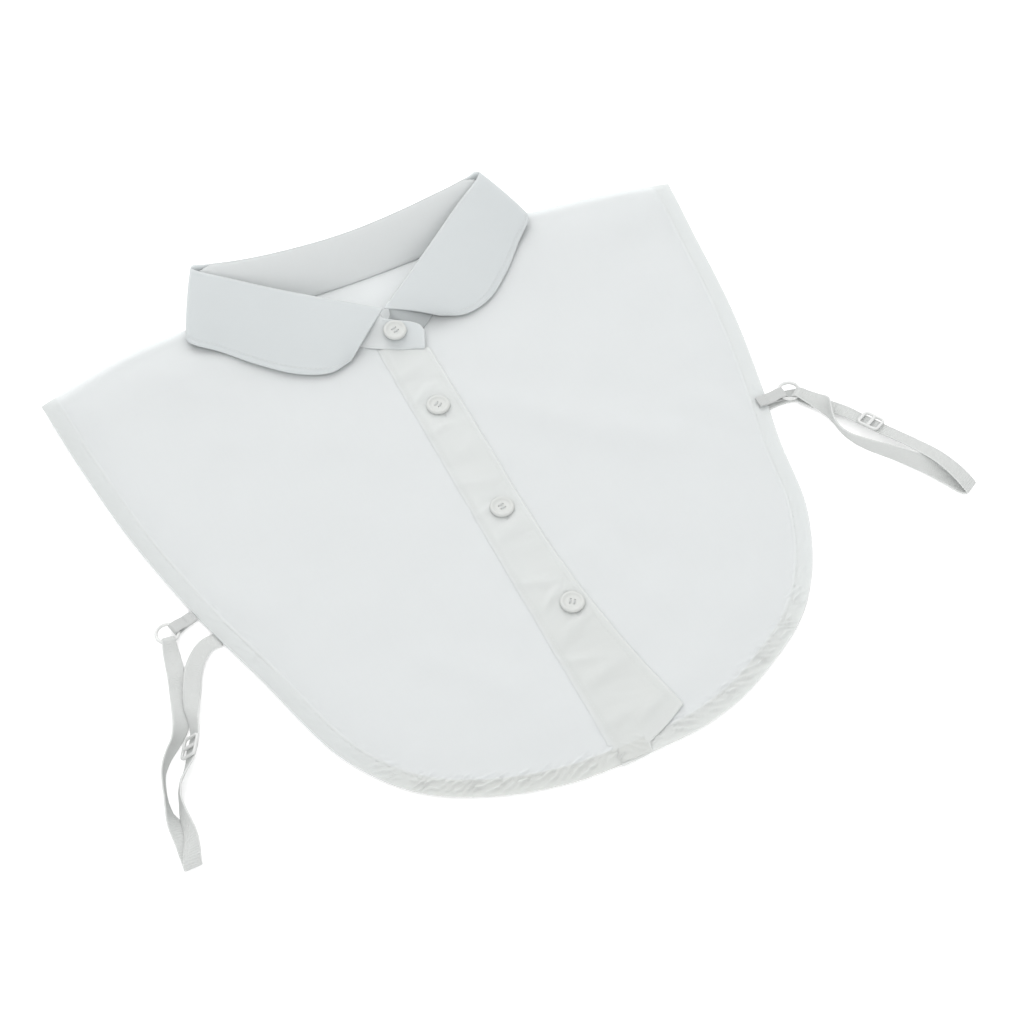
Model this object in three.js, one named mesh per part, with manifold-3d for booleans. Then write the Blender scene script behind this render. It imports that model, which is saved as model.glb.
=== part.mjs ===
// A detachable shirt collar, lying on its back on a table: a buttoned collar on a short bib,
// with an elastic strap at each side that joins the front of the bib to its back.
// Millimetres. X points right as seen from the front, Y to the neck and Z up from the table.
// The origin is on the table under the middle of the bib. Left and right are as seen from the front.

import * as THREE from 'three';
import { mergeVertices } from 'three/addons/utils/BufferGeometryUtils.js';
import Module from 'manifold-3d';

const wasm = await Module();
wasm.setup();

// Driving dimensions
const CLOTH = 1.1;              // wall of a cloth part
const COLLAR_WALL = 1.2;        // wall of the collar's stand and fall
const GAP = 0.3;                // clearance between neighbouring pieces
const LOFT = 1.5;               // air under the middle of the front panels
const LOFT_MARGIN = 30;         // distance from the edge over which that air builds up
const NECK_RISE = 2.2;          // the fall's edge lifts the back panel this much at the neck
const NECK_RISE_FROM = 120;     // Y where that lift starts
const NECK_RISE_TO = 160;       // Y where it is complete
const BACK_SCALE = 0.985;       // the back panel is a little smaller than the front
const PLACKET_LEFT = -11;       // X of the placket's stitched edge
const PLACKET_RIGHT = 13.4;     // X of its free edge, above the waist
const PLACKET_FLARE = 16.5;     // how far the free edge swings out at the hem
const PLACKET_WALL = 1.2;
const PLACKET_LEFT_HEAD = 117.8;    // Y of the stitched edge at the stand
const PLACKET_RIGHT_HEAD = 109.6;   // and of the free edge
const PANEL_LEFT_NECK = 122;        // Y where the inner edge of each front meets the neckline
const PANEL_RIGHT_NECK = 113.4;
const LAYER_GAP = 0.5;              // clearance of the placket and of the buttons over the cloth below
const SEAM_ALLOWANCE = 1.4;     // the panels stop this far from the foot of the stand
const LEAF_SKEW = 2.5;          // the collar's two points lie this much below and above each other
const ELASTIC_WIDTH = 8;
const ELASTIC_WALL = 1.0;
const RING_RADIUS = 5.4;        // to the middle of the wire
const RING_WIRE = 0.9;          // radius of the wire
const BUTTON_RADIUS = 6.2;
const BUTTON_HEIGHT = 2.4;

// Half of the bib's outline, from the middle of the hem to the shoulder tip
const BIB_OUTLINE = [
  { x: 0, y: -156 },
  { x: 36, y: -151.5 },
  { x: 72, y: -141.5 },
  { x: 101, y: -125 },
  { x: 122, y: -99 },
  { x: 137, y: -64 },
  { x: 149, y: -20 },
  { x: 160, y: 20 },
  { x: 170.5, y: 68 },
  { x: 177.5, y: 118 },
  { x: 182.5, y: 162.7 },
];
const OUTLINE_CORNER = 3;       // the row where the hem turns into the side

// Half of the shoulder line, from the foot of the collar to the tip
const SHOULDER_LINE = [
  { x: 89, y: 178.4 },
  { x: 101, y: 177.1 },
  { x: 142, y: 172 },
  { x: 165, y: 167.7 },
  { x: 182.5, y: 162.7 },
];

// Foot of the placket: along the hem, up beside it and on to the lifted corner
const PLACKET_FOOT = [
  { x: PLACKET_LEFT, y: -155.4 },
  { x: -3, y: -155.6 },
  { x: 4.6, y: -155.4 },
  { x: 6.6, y: -148.4 },
  { x: 18, y: -143 },
  { x: PLACKET_RIGHT + PLACKET_FLARE, y: -137 },
];

// Soft folds in the front panels: a ridge from one end to the other
const FOLDS = [
  { name: 'chest', from: [28, 66], to: [94, 8], height: 2.4, width: 11 },
  { name: 'right tab', from: [120, 26], to: [146, -8], height: 1.8, width: 9 },
  { name: 'waist', from: [55, -3], to: [59, -40], height: 1.4, width: 9 },
  { name: 'low', from: [31, -40], to: [48, -81], height: 1.8, width: 9 },
  { name: 'left low', from: [-66, -63], to: [-39, -95], height: 1.6, width: 9 },
  { name: 'left tab', from: [-150, 22], to: [-133, 0], height: 1.5, width: 9 },
  { name: 'shoulder', from: [-124, 160], to: [-94, 125], height: 2.6, width: 11 },
];

// Half of the collar, from its front to the middle of its back. Each row is a section:
// the fold at the top, the edge of the fall, and the point that the fall bends towards.
const FALL_SECTIONS = [
  { at: 'front', fold: [0.8, 140.2, 13.6], bend: [14, 132.8, 11.8], edge: [27.5, 123.5, 6], skew: 1 },
  { at: 'round', fold: [12, 147.8, 15], bend: [27, 136.4, 13.2], edge: [40, 121, 5.8], skew: 1 },
  { at: 'chest', fold: [26, 157.6, 16.4], bend: [42, 145, 14], edge: [55, 126.3, 6], skew: 0.7 },
  { at: 'middle', fold: [47, 172.2, 19], bend: [61, 157.5, 15.8], edge: [72, 140, 6.9], skew: 0.4 },
  { at: 'side', fold: [66, 186.6, 21.6], bend: [77.5, 171.5, 17.6], edge: [86, 154.9, 8], skew: 0.3 },
  { at: 'crease', fold: [83.4, 201.2, 24], bend: [92, 185.5, 18.6], edge: [99.6, 168.9, 9], skew: 0.3 },
  { at: 'wrap', fold: [81.8, 202.6, 24.1], bend: [90, 193, 15], edge: [95.8, 177.6, 7.4], skew: 0 },
  { at: 'turn', fold: [77, 201, 24], bend: [89, 202, 5], edge: [91, 183, 1.9], skew: 0 },
  { at: 'quarter', fold: [60, 196.3, 23.6], bend: [65.5, 203, 2], edge: [66, 172.5, 1], skew: 0 },
  { at: 'half', fold: [35, 192.3, 23.2], bend: [38, 199, 2], edge: [38, 170.5, 0.9], skew: 0 },
  { at: 'back', fold: [0, 190, 23], bend: [0, 197, 2], edge: [0, 170, 0.9], skew: 0 },
];

// Half of the stand, from its front to the middle of its back: its seam and its top edge
const STAND_SECTIONS = [
  { at: 'front', seam: [13.1, 124.6, 4.4], top: [9, 141.2, 11.6] },
  { at: 'chest', seam: [29, 136, 4.4], top: [22.5, 152.6, 14] },
  { at: 'middle', seam: [48, 150, 4.5], top: [46, 169, 16.8] },
  { at: 'side', seam: [68, 164.5, 4.5], top: [65, 183.2, 19.2] },
  { at: 'crease', seam: [88, 178.8, 4.6], top: [80.9, 196.2, 20.2] },
  { at: 'turn', seam: [84, 179.6, 4.5], top: [77, 196.8, 20.6] },
  { at: 'quarter', seam: [62, 176.4, 4.4], top: [60, 193.2, 21] },
  { at: 'half', seam: [35, 173.6, 4.3], top: [35, 190, 20.7] },
  { at: 'back', seam: [0, 172.6, 4.2], top: [0, 188, 20.6] },
];
const END_LIFT = 0.4;           // the two ends part by this much each way where they start to cross

// The buttoned end of the stand, on top, from its rounded tip to its root
const STAND_TAB = [
  { seam: [12.4, 114.8, 5.8], top: [13.4, 122.2, 8] },
  { seam: [10.6, 115.4, 5.8], top: [12.2, 127.6, 9.6] },
  { seam: [6, 117, 5.6], top: [8.4, 130.6, 10.6] },
  { seam: [-1, 119.6, 5.4], top: [2.6, 134, 11.4] },
];
// The end under it, from its root to its tip
const STAND_UNDERLAP = [
  { seam: [1, 119.8, 3.6], top: [-2.6, 134, 8.9] },
  { seam: [-8.5, 116.6, 3.6], top: [-10.6, 129.6, 7.6] },
];

// Routes of the two elastic straps, from the end sewn round the ring to the end at the back
// panel. "side" is the direction of the width seen from above and "tilt" its rise, in degrees.
// Rows without a "width" have the full width of the elastic.
const LEFT_ROUTE = [
  { x: -177.8, y: -18, z: 0.7, side: -12, tilt: 0 },
  { x: -175.6, y: -6, z: 0.7, side: -10, tilt: 0, width: 7 },
  { x: -174.4, y: 0.3, z: 0.95, side: -8, tilt: 0, width: 5.4 },
  { x: -174.1, y: 2.4, z: 2.9, side: -8, tilt: 0, width: 5.4 },
  { x: -174.4, y: 0.3, z: 4.85, side: -8, tilt: 0, width: 5.4 },
  { x: -175.8, y: -6, z: 2.6, side: -10, tilt: 0, width: 7 },
  { x: -178, y: -18.7, z: 2, side: -12, tilt: 0 },
  { x: -179.9, y: -26, z: 1.2, side: -14, tilt: 0 },
  { x: -182.8, y: -36.5, z: 1.8, side: -18, tilt: -15 },
  { x: -186.2, y: -46, z: 3.1, side: -30, tilt: -35 },
  { x: -191.5, y: -53.8, z: 4.3, side: -40, tilt: -70 },
  { x: -197.2, y: -59.5, z: 4.5, side: -40, tilt: -80 },
  { x: -201.8, y: -65.8, z: 4.6, side: -32, tilt: -86 },
  { x: -204.4, y: -73, z: 4.6, side: -15, tilt: -86 },
  { x: -206, y: -80.2, z: 4.6, side: -6, tilt: -84 },
  { x: -206.9, y: -86.8, z: 4.3, side: 0, tilt: -70 },
  { x: -206.6, y: -93.4, z: 2.6, side: 4, tilt: -30 },
  { x: -206, y: -100.1, z: 1.3, side: 2, tilt: -5 },
  { x: -206.4, y: -107.8, z: 0.9, side: 0, tilt: 0 },
  { x: -206.8, y: -114.8, z: 1, side: 0, tilt: 0 },
  { x: -207, y: -116.8, z: 2.7, side: 0, tilt: 0 },
  { x: -206.6, y: -114.8, z: 4.5, side: 0, tilt: 0 },
  { x: -204.9, y: -110, z: 5.2, side: 0, tilt: 15 },
  { x: -202.8, y: -103.6, z: 5.7, side: 0, tilt: 40 },
  { x: -202, y: -97, z: 5.7, side: 0, tilt: 55 },
  { x: -201.6, y: -90.6, z: 5.2, side: -4, tilt: 66 },
  { x: -200.3, y: -83.6, z: 4.8, side: -12, tilt: 76 },
  { x: -197.2, y: -75.4, z: 4.7, side: -22, tilt: 70 },
  { x: -193.4, y: -71.2, z: 4.7, side: -28, tilt: 42 },
  { x: -189.2, y: -66.6, z: 4.6, side: -30, tilt: 20 },
  { x: -185.6, y: -60.5, z: 4.6, side: -30, tilt: 20 },
  { x: -182, y: -54.4, z: 4.6, side: -30, tilt: 20 },
  { x: -179.6, y: -46.6, z: 5.2, side: -22, tilt: -4 },
  { x: -177.8, y: -39.4, z: 5, side: -28, tilt: -20 },
  { x: -174.4, y: -30.8, z: 4, side: -26, tilt: -20 },
  { x: -170, y: -21, z: 3.4, side: -30, tilt: -10 },
  { x: -165.1, y: -13.8, z: 2.6, side: -42, tilt: 0 },
  { x: -158.6, y: -8.4, z: 1.2, side: -68, tilt: 0 },
  { x: -152, y: -7.4, z: 0.7, side: -88, tilt: 0 },
];
const LEFT_SLIDE_ROW = 30;

const RIGHT_ROUTE = [
  { x: 178.6, y: -6.6, z: 2, side: 37, tilt: 0, width: 7 },
  { x: 174.8, y: -1.8, z: 2, side: 37, tilt: 0, width: 6.4 },
  { x: 172.5, y: 1.3, z: 1.8, side: 37, tilt: 0, width: 5.4 },
  { x: 171.3, y: 2.9, z: 3.7, side: 37, tilt: 0, width: 5.4 },
  { x: 172.5, y: 1.3, z: 5.6, side: 37, tilt: 0, width: 5.4 },
  { x: 175.6, y: -2.4, z: 4.8, side: 34, tilt: 0, width: 6.8 },
  { x: 178.4, y: -6.2, z: 4.4, side: 26, tilt: 8, width: 7.6 },
  { x: 180.6, y: -10.6, z: 5, side: 14, tilt: 30 },
  { x: 180.7, y: -16, z: 5.4, side: 4, tilt: 60 },
  { x: 180.2, y: -22.4, z: 4.7, side: 0, tilt: 82 },
  { x: 180.2, y: -29, z: 4.6, side: 6, tilt: 84 },
  { x: 182.4, y: -35.6, z: 4.4, side: 24, tilt: 76 },
  { x: 187.8, y: -43.4, z: 4.2, side: 38, tilt: 64 },
  { x: 198.4, y: -55.4, z: 3.9, side: 40, tilt: 54 },
  { x: 208.6, y: -67.4, z: 3, side: 38, tilt: 34 },
  { x: 214.6, y: -77, z: 1.8, side: 30, tilt: 12 },
  { x: 219.2, y: -85.6, z: 0.9, side: 28, tilt: 0 },
  { x: 221, y: -88.6, z: 2.8, side: 28, tilt: 0 },
  { x: 220, y: -85.6, z: 4.8, side: 28, tilt: 4 },
  { x: 218, y: -77, z: 5.4, side: 26, tilt: 18 },
  { x: 214, y: -66.6, z: 6, side: 28, tilt: 34 },
  { x: 208, y: -53.4, z: 5, side: 29, tilt: 42 },
  { x: 203.2, y: -43.8, z: 4.6, side: 30, tilt: 38 },
  { x: 199.9, y: -37.9, z: 4.4, side: 31, tilt: 30 },
  { x: 196.3, y: -31.8, z: 4.4, side: 31, tilt: 30 },
  { x: 192.7, y: -25.7, z: 4.4, side: 31, tilt: 30 },
  { x: 190.2, y: -20.8, z: 4.2, side: 36, tilt: 44 },
  { x: 187.4, y: -16.6, z: 3.7, side: 42, tilt: 42 },
  { x: 182, y: -11.4, z: 1.5, side: 46, tilt: 8 },
  { x: 175.4, y: -5.4, z: 0.7, side: 54, tilt: 0 },
  { x: 168, y: 0.4, z: 0.7, side: 66, tilt: 0 },
  { x: 160, y: 3.2, z: 0.7, side: 84, tilt: 0 },
  { x: 155, y: 3.4, z: 0.7, side: 90, tilt: 0 },
];
const RIGHT_SLIDE_ROW = 24;

// Materials
const poplin = new THREE.MeshStandardMaterial({ color: 0xe6eaea, roughness: 0.9, metalness: 0 });
const collarCloth = new THREE.MeshStandardMaterial({ color: 0xdce1e2, roughness: 0.88, metalness: 0 });
const elastic = new THREE.MeshStandardMaterial({ color: 0xdcdfdf, roughness: 0.8, metalness: 0 });
const ribbon = new THREE.MeshStandardMaterial({ color: 0xd0d0cf, roughness: 0.6, metalness: 0 });
const pearl = new THREE.MeshStandardMaterial({ color: 0xe2e0dd, roughness: 0.3, metalness: 0 });
const plastic = new THREE.MeshStandardMaterial({ color: 0xececec, roughness: 0.35, metalness: 0 });

// Helpers
const smooth = (from, to, value) => THREE.MathUtils.smoothstep(value, from, to);
const vector = ([x, y, z]) => new THREE.Vector3(x, y, z);
const flip = ([x, y, z]) => [-x, y, z];
const curveThrough = points => new THREE.CatmullRomCurve3(points, false, 'centripetal');
const flatCurve = rows => curveThrough(rows.map(row => new THREE.Vector3(row.x, row.y, 0)));

// A closed wall between two grids of points, lower and upper, columns by rows
function wallBetween(lower, upper, columns, rows) {
  const corners = [...upper, ...lower];
  const faces = [];
  const top = (i, j) => i * (rows + 1) + j;
  const bottom = (i, j) => upper.length + top(i, j);
  const quad = (a, b, c, d) => faces.push(a, b, c, a, c, d);
  for (let i = 0; i < columns; i += 1) {
    for (let j = 0; j < rows; j += 1) {
      quad(top(i, j), top(i + 1, j), top(i + 1, j + 1), top(i, j + 1));
      quad(bottom(i, j), bottom(i, j + 1), bottom(i + 1, j + 1), bottom(i + 1, j));
    }
    quad(bottom(i, 0), bottom(i + 1, 0), top(i + 1, 0), top(i, 0));
    quad(top(i, rows), top(i + 1, rows), bottom(i + 1, rows), bottom(i, rows));
  }
  for (let j = 0; j < rows; j += 1) {
    quad(top(0, j), top(0, j + 1), bottom(0, j + 1), bottom(0, j));
    quad(bottom(columns, j), bottom(columns, j + 1), top(columns, j + 1), top(columns, j));
  }
  const geometry = new THREE.BufferGeometry().setFromPoints(corners);
  geometry.setIndex(faces);
  geometry.computeVertexNormals();
  return geometry;
}

// A wall of even thickness on both sides of a surface(u, v)
function bandOn(surface, columns, rows, thickness) {
  const lower = [];
  const upper = [];
  const step = 1e-3;
  for (let i = 0; i <= columns; i += 1) {
    for (let j = 0; j <= rows; j += 1) {
      const u = THREE.MathUtils.clamp(i / columns, step, 1 - step);
      const v = THREE.MathUtils.clamp(j / rows, step, 1 - step);
      const along = surface(u + step, v).sub(surface(u - step, v));
      const across = surface(u, v + step).sub(surface(u, v - step));
      const normal = along.cross(across).normalize().multiplyScalar(thickness / 2);
      const point = surface(i / columns, j / rows);
      upper.push(point.clone().add(normal));
      lower.push(point.clone().sub(normal));
    }
  }
  return wallBetween(lower, upper, columns, rows);
}

// A patch stretched between four edge curves, each a function of 0 to 1
function patchBetween(bottom, top, left, right) {
  return (u, v) => {
    const across = bottom(u).multiplyScalar(1 - v).add(top(u).multiplyScalar(v));
    const along = left(v).multiplyScalar(1 - u).add(right(v).multiplyScalar(u));
    const corners = bottom(0).multiplyScalar((1 - u) * (1 - v))
      .add(bottom(1).multiplyScalar(u * (1 - v)))
      .add(top(0).multiplyScalar((1 - u) * v))
      .add(top(1).multiplyScalar(u * v));
    return across.add(along).sub(corners);
  };
}

// A cloth panel over a flat patch, between a lower and an upper height
function panelOn(patch, underside, thickness, columns, rows) {
  const lower = [];
  const upper = [];
  for (let i = 0; i <= columns; i += 1) {
    for (let j = 0; j <= rows; j += 1) {
      const point = patch(i / columns, j / rows);
      const height = underside(point.x, point.y);
      lower.push(new THREE.Vector3(point.x, point.y, height));
      upper.push(new THREE.Vector3(point.x, point.y, height + thickness));
    }
  }
  return wallBetween(lower, upper, columns, rows);
}

function toManifold(geometry) {
  const bare = geometry.clone();
  bare.deleteAttribute('normal');
  bare.deleteAttribute('uv');
  const merged = mergeVertices(bare);
  return new wasm.Manifold(new wasm.Mesh({
    numProp: 3,
    vertProperties: new Float32Array(merged.attributes.position.array),
    triVerts: new Uint32Array(merged.index.array),
  }));
}

function toGeometry(solid) {
  const mesh = solid.getMesh();
  const geometry = new THREE.BufferGeometry();
  geometry.setAttribute('position', new THREE.BufferAttribute(new Float32Array(mesh.vertProperties), 3));
  geometry.setIndex([...mesh.triVerts]);
  geometry.computeVertexNormals();
  return geometry;
}

const collar = new THREE.Group();
collar.name = 'detachable_collar';

function addPart(name, geometry, material) {
  const mesh = new THREE.Mesh(geometry, material);
  mesh.name = name;
  collar.add(mesh);
  return mesh;
}

// Heights of the lying cloth
const outlineCurve = flatCurve(BIB_OUTLINE);
const shoulderCurve = flatCurve(SHOULDER_LINE);
const CORNER_AT = OUTLINE_CORNER / (BIB_OUTLINE.length - 1);
const EDGE_SAMPLES = 60;
const edgePoints = [...outlineCurve.getPoints(EDGE_SAMPLES), ...shoulderCurve.getPoints(EDGE_SAMPLES / 3)];

function edgeDistance(x, y) {
  return Math.min(...edgePoints.map(point => Math.hypot(point.x - Math.abs(x), point.y - y)));
}

function foldHeight(x, y) {
  let height = 0;
  for (const { from, to, height: peak, width } of FOLDS) {
    const line = [to[0] - from[0], to[1] - from[1]];
    const length = Math.hypot(...line);
    const along = ((x - from[0]) * line[0] + (y - from[1]) * line[1]) / length;
    const beside = ((x - from[0]) * line[1] - (y - from[1]) * line[0]) / length;
    const end = Math.max(0, -along, along - length);
    height += peak * Math.exp(-((beside / width) ** 2) - (end / width) ** 2);
  }
  return height;
}

const backUnderside = (x, y) => NECK_RISE * smooth(NECK_RISE_FROM, NECK_RISE_TO, y);

function frontUnderside(x, y) {
  const settled = smooth(0, LOFT_MARGIN, edgeDistance(x, y));
  return backUnderside(x, y) + CLOTH + GAP + (LOFT + foldHeight(x, y)) * settled;
}

// Neckline: the foot of the stand, and the panels' edges a little outside it
const seamCurve = curveThrough(STAND_SECTIONS.map(row => vector(row.seam)));
const CREASE_AT = STAND_SECTIONS.findIndex(row => row.at === 'crease') / (STAND_SECTIONS.length - 1);
const OUTWARD = new THREE.Vector3(0.6, -0.8, 0);    // away from the neck, square to the front seam

function frontNeck(u) {
  const point = seamCurve.getPoint(u * CREASE_AT);
  point.z = 0;
  return point.addScaledVector(OUTWARD, SEAM_ALLOWANCE);
}

// The top edge of a front: from its inner corner to the neckline, then along the shoulder
function frontTop(firstPoint) {
  const neckShare = 0.5;
  const lead = 0.15;
  const blendFrom = 0.9;
  return u => {
    if (u >= neckShare) return shoulderCurve.getPoint((u - neckShare) / (1 - neckShare));
    const t = u / neckShare;
    if (t < lead) return firstPoint.clone().lerp(frontNeck(0), t / lead);
    return frontNeck((t - lead) / (1 - lead)).lerp(shoulderCurve.getPoint(0), smooth(blendFrom, 1, t));
  };
}

const hemCurve = u => outlineCurve.getPoint(u * CORNER_AT);
const sideCurve = v => outlineCurve.getPoint(CORNER_AT + v * (1 - CORNER_AT));

function frontPatch(innerX, neckY) {
  const lead = innerX / (3 * BIB_OUTLINE[1].x);
  const bottom = u => {
    const t = lead + (1 - lead) * u;
    return t < 0 ? new THREE.Vector3(t / lead * innerX, BIB_OUTLINE[0].y, 0) : hemCurve(t);
  };
  const foot = bottom(0);
  const neck = new THREE.Vector3(innerX, neckY, 0);
  const inner = v => foot.clone().lerp(neck, v);
  return patchBetween(bottom, frontTop(neck), inner, sideCurve);
}

const turned = patch => (u, v) => {
  const point = patch(1 - u, v);
  point.x = -point.x;
  return point;
};

// Bib
const PANEL_COLUMNS = 12;
const PANEL_ROWS = 18;

function backPanel() {
  const scaled = curve => t => curve(t).multiplyScalar(BACK_SCALE);
  const scaledShoulder = scaled(t => shoulderCurve.getPoint(t));
  const toLeft = point => new THREE.Vector3(-point.x, point.y, point.z);
  const bottom = u => (u < 0.5 ? toLeft(hemCurve(1 - 2 * u)) : hemCurve(2 * u - 1));
  const backNeck = t => {
    const point = seamCurve.getPoint(1 - t * (1 - CREASE_AT));
    return new THREE.Vector3(point.x, point.y - SEAM_ALLOWANCE, 0);
  };
  const halfTop = t => {
    const neckShare = 0.48;
    if (t < neckShare) return backNeck(t / neckShare);
    return scaledShoulder((t - neckShare) / (1 - neckShare));
  };
  const top = u => (u < 0.5 ? toLeft(halfTop(1 - 2 * u)) : halfTop(2 * u - 1));
  const left = v => toLeft(sideCurve(v));
  const patch = patchBetween(scaled(bottom), top, scaled(left), scaled(sideCurve));
  return panelOn(patch, backUnderside, CLOTH, 2 * PANEL_COLUMNS, PANEL_ROWS);
}

addPart('back_panel', backPanel(), poplin);
const leftFront = turned(frontPatch(GAP - PLACKET_LEFT, PANEL_LEFT_NECK));
const rightFront = frontPatch(PLACKET_LEFT + 1, PANEL_RIGHT_NECK);
addPart('front_panel_left', panelOn(leftFront, frontUnderside, CLOTH, PANEL_COLUMNS, PANEL_ROWS), poplin);
addPart('front_panel_right', panelOn(rightFront, frontUnderside, CLOTH, PANEL_COLUMNS, PANEL_ROWS), poplin);

// Button placket, on top of both fronts
function placketPatch(u, v) {
  const corner = PLACKET_FOOT[PLACKET_FOOT.length - 1];
  const foot = PLACKET_FOOT[Math.round(u * (PLACKET_FOOT.length - 1))];
  const share = (foot.x - PLACKET_LEFT) / (corner.x - PLACKET_LEFT);
  const below = Math.min(0, THREE.MathUtils.lerp(corner.y, PLACKET_RIGHT_HEAD, v)) / corner.y;
  const rightX = PLACKET_RIGHT + PLACKET_FLARE * below * below;
  const headY = THREE.MathUtils.lerp(PLACKET_LEFT_HEAD, PLACKET_RIGHT_HEAD, share);
  return new THREE.Vector3(
    THREE.MathUtils.lerp(PLACKET_LEFT, rightX, share),
    THREE.MathUtils.lerp(foot.y, headY, v),
    0,
  );
}
const placketUnderside = (x, y) => frontUnderside(x, y) + CLOTH + LAYER_GAP;
const PLACKET_COLUMNS = PLACKET_FOOT.length - 1;
const PLACKET_ROWS = 22;
addPart('placket', panelOn(placketPatch, placketUnderside, PLACKET_WALL, PLACKET_COLUMNS, PLACKET_ROWS),
  poplin);

// Collar
function bothHalves(rows, key, shift = () => 0) {
  const moved = (point, distance) => vector(point).add(new THREE.Vector3(0, distance, 0));
  const left = rows.map(row => moved(flip(row[key]), -shift(row)));
  const right = rows.slice(0, -1).reverse().map(row => moved(row[key], shift(row)));
  return [...left, ...right];
}

function collarStand() {
  const seams = bothHalves(STAND_SECTIONS, 'seam');
  const tops = bothHalves(STAND_SECTIONS, 'top');
  for (const points of [seams, tops]) {
    points[0].z += END_LIFT;
    points[points.length - 1].z -= END_LIFT;
  }
  const seam = curveThrough([
    ...STAND_TAB.map(row => vector(row.seam)), ...seams, ...STAND_UNDERLAP.map(row => vector(row.seam)),
  ]);
  const top = curveThrough([
    ...STAND_TAB.map(row => vector(row.top)), ...tops, ...STAND_UNDERLAP.map(row => vector(row.top)),
  ]);
  const surface = (u, v) => seam.getPoint(u).lerp(top.getPoint(u), v);
  const rows = 2;
  return bandOn(surface, 2 * (seam.points.length - 1), rows, COLLAR_WALL);
}

function collarFall() {
  const shift = row => row.skew * LEAF_SKEW;
  const fold = curveThrough(bothHalves(FALL_SECTIONS, 'fold'));
  const bend = curveThrough(bothHalves(FALL_SECTIONS, 'bend', shift));
  const edge = curveThrough(bothHalves(FALL_SECTIONS, 'edge', shift));
  const surface = (u, v) => new THREE.QuadraticBezierCurve3(
    fold.getPoint(u), bend.getPoint(u), edge.getPoint(u),
  ).getPoint(v);
  const rows = 5;
  return bandOn(surface, 2 * (fold.points.length - 1), rows, COLLAR_WALL);
}

addPart('collar_stand', collarStand(), collarCloth);
addPart('collar_fall', collarFall(), collarCloth);

// Buttons: a raised rim round a shallow dish with four sewing holes
function buttonGeometry() {
  const rim = 1.3;
  const dish = 0.7;
  const bevel = 0.5;
  const profile = [
    [0, 0],
    [BUTTON_RADIUS - bevel, 0],
    [BUTTON_RADIUS, bevel],
    [BUTTON_RADIUS, BUTTON_HEIGHT - bevel],
    [BUTTON_RADIUS - bevel, BUTTON_HEIGHT],
    [BUTTON_RADIUS - rim, BUTTON_HEIGHT],
    [BUTTON_RADIUS - rim - dish, BUTTON_HEIGHT - dish],
    [0, BUTTON_HEIGHT - dish],
  ].map(([radius, height]) => new THREE.Vector2(radius, height));
  const rimSides = 20;
  const body = new THREE.LatheGeometry(profile, rimSides).rotateX(Math.PI / 2);
  let solid = toManifold(body);
  const holeRadius = 0.8;
  const holeSides = 6;
  const holeSpread = 1.5;
  for (const quarter of [0.5, 1.5, 2.5, 3.5]) {
    const angle = quarter * Math.PI / 2;
    const drill = new THREE.CylinderGeometry(holeRadius, holeRadius, 3 * BUTTON_HEIGHT, holeSides)
      .rotateX(Math.PI / 2)
      .translate(holeSpread * Math.cos(angle), holeSpread * Math.sin(angle), BUTTON_HEIGHT / 2);
    solid = solid.subtract(toManifold(drill));
  }
  return toGeometry(solid);
}

const BUTTONS = [
  { name: 'button_stand', x: 0.6, y: 126.6, z: 10, lean: 22, turn: 18 },
  { name: 'button_upper', x: 1.2, y: 74, lean: 0, turn: 35 },
  { name: 'button_middle', x: 2.6, y: 1, lean: 0, turn: 10 },
  { name: 'button_lower', x: 8.6, y: -65, lean: 0, turn: 52 },
];
for (const { name, x, y, z, lean, turn } of BUTTONS) {
  const button = addPart(name, buttonGeometry(), pearl);
  const rest = placketUnderside(x, y) + PLACKET_WALL + LAYER_GAP;
  button.position.set(x, y, z ?? rest);
  button.rotation.set(THREE.MathUtils.degToRad(lean), 0, THREE.MathUtils.degToRad(turn), 'XYZ');
}

// Straps
function strapRoute(rows) {
  const last = rows.length - 1;
  const path = curveThrough(rows.map(row => new THREE.Vector3(row.x, row.y, row.z)));
  const sideAt = u => {
    const place = Math.min(Math.floor(u * last), last - 1);
    const share = u * last - place;
    const mix = value => THREE.MathUtils.lerp(value(rows[place]), value(rows[place + 1]), share);
    const turn = THREE.MathUtils.degToRad(mix(row => row.side));
    const rise = THREE.MathUtils.degToRad(mix(row => row.tilt));
    const width = mix(row => row.width ?? ELASTIC_WIDTH);
    return new THREE.Vector3(
      Math.cos(turn) * Math.cos(rise), Math.sin(turn) * Math.cos(rise), Math.sin(rise),
    ).multiplyScalar(width);
  };
  return { path, sideAt, last };
}

function strapGeometry(rows) {
  const { path, sideAt, last } = strapRoute(rows);
  const surface = (u, v) => path.getPoint(u).add(sideAt(u).multiplyScalar(v - 0.5));
  return bandOn(surface, 2 * last, 1, ELASTIC_WALL);
}

addPart('elastic_left', strapGeometry(LEFT_ROUTE), elastic);
addPart('elastic_right', strapGeometry(RIGHT_ROUTE), elastic);

// Rings and the ribbon tabs that hold them
const WIRE_SIDES = 8;
const RING_SIDES = 24;
const TAB_WIDTH = 6;
const TAB_WALL = 0.8;

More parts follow.
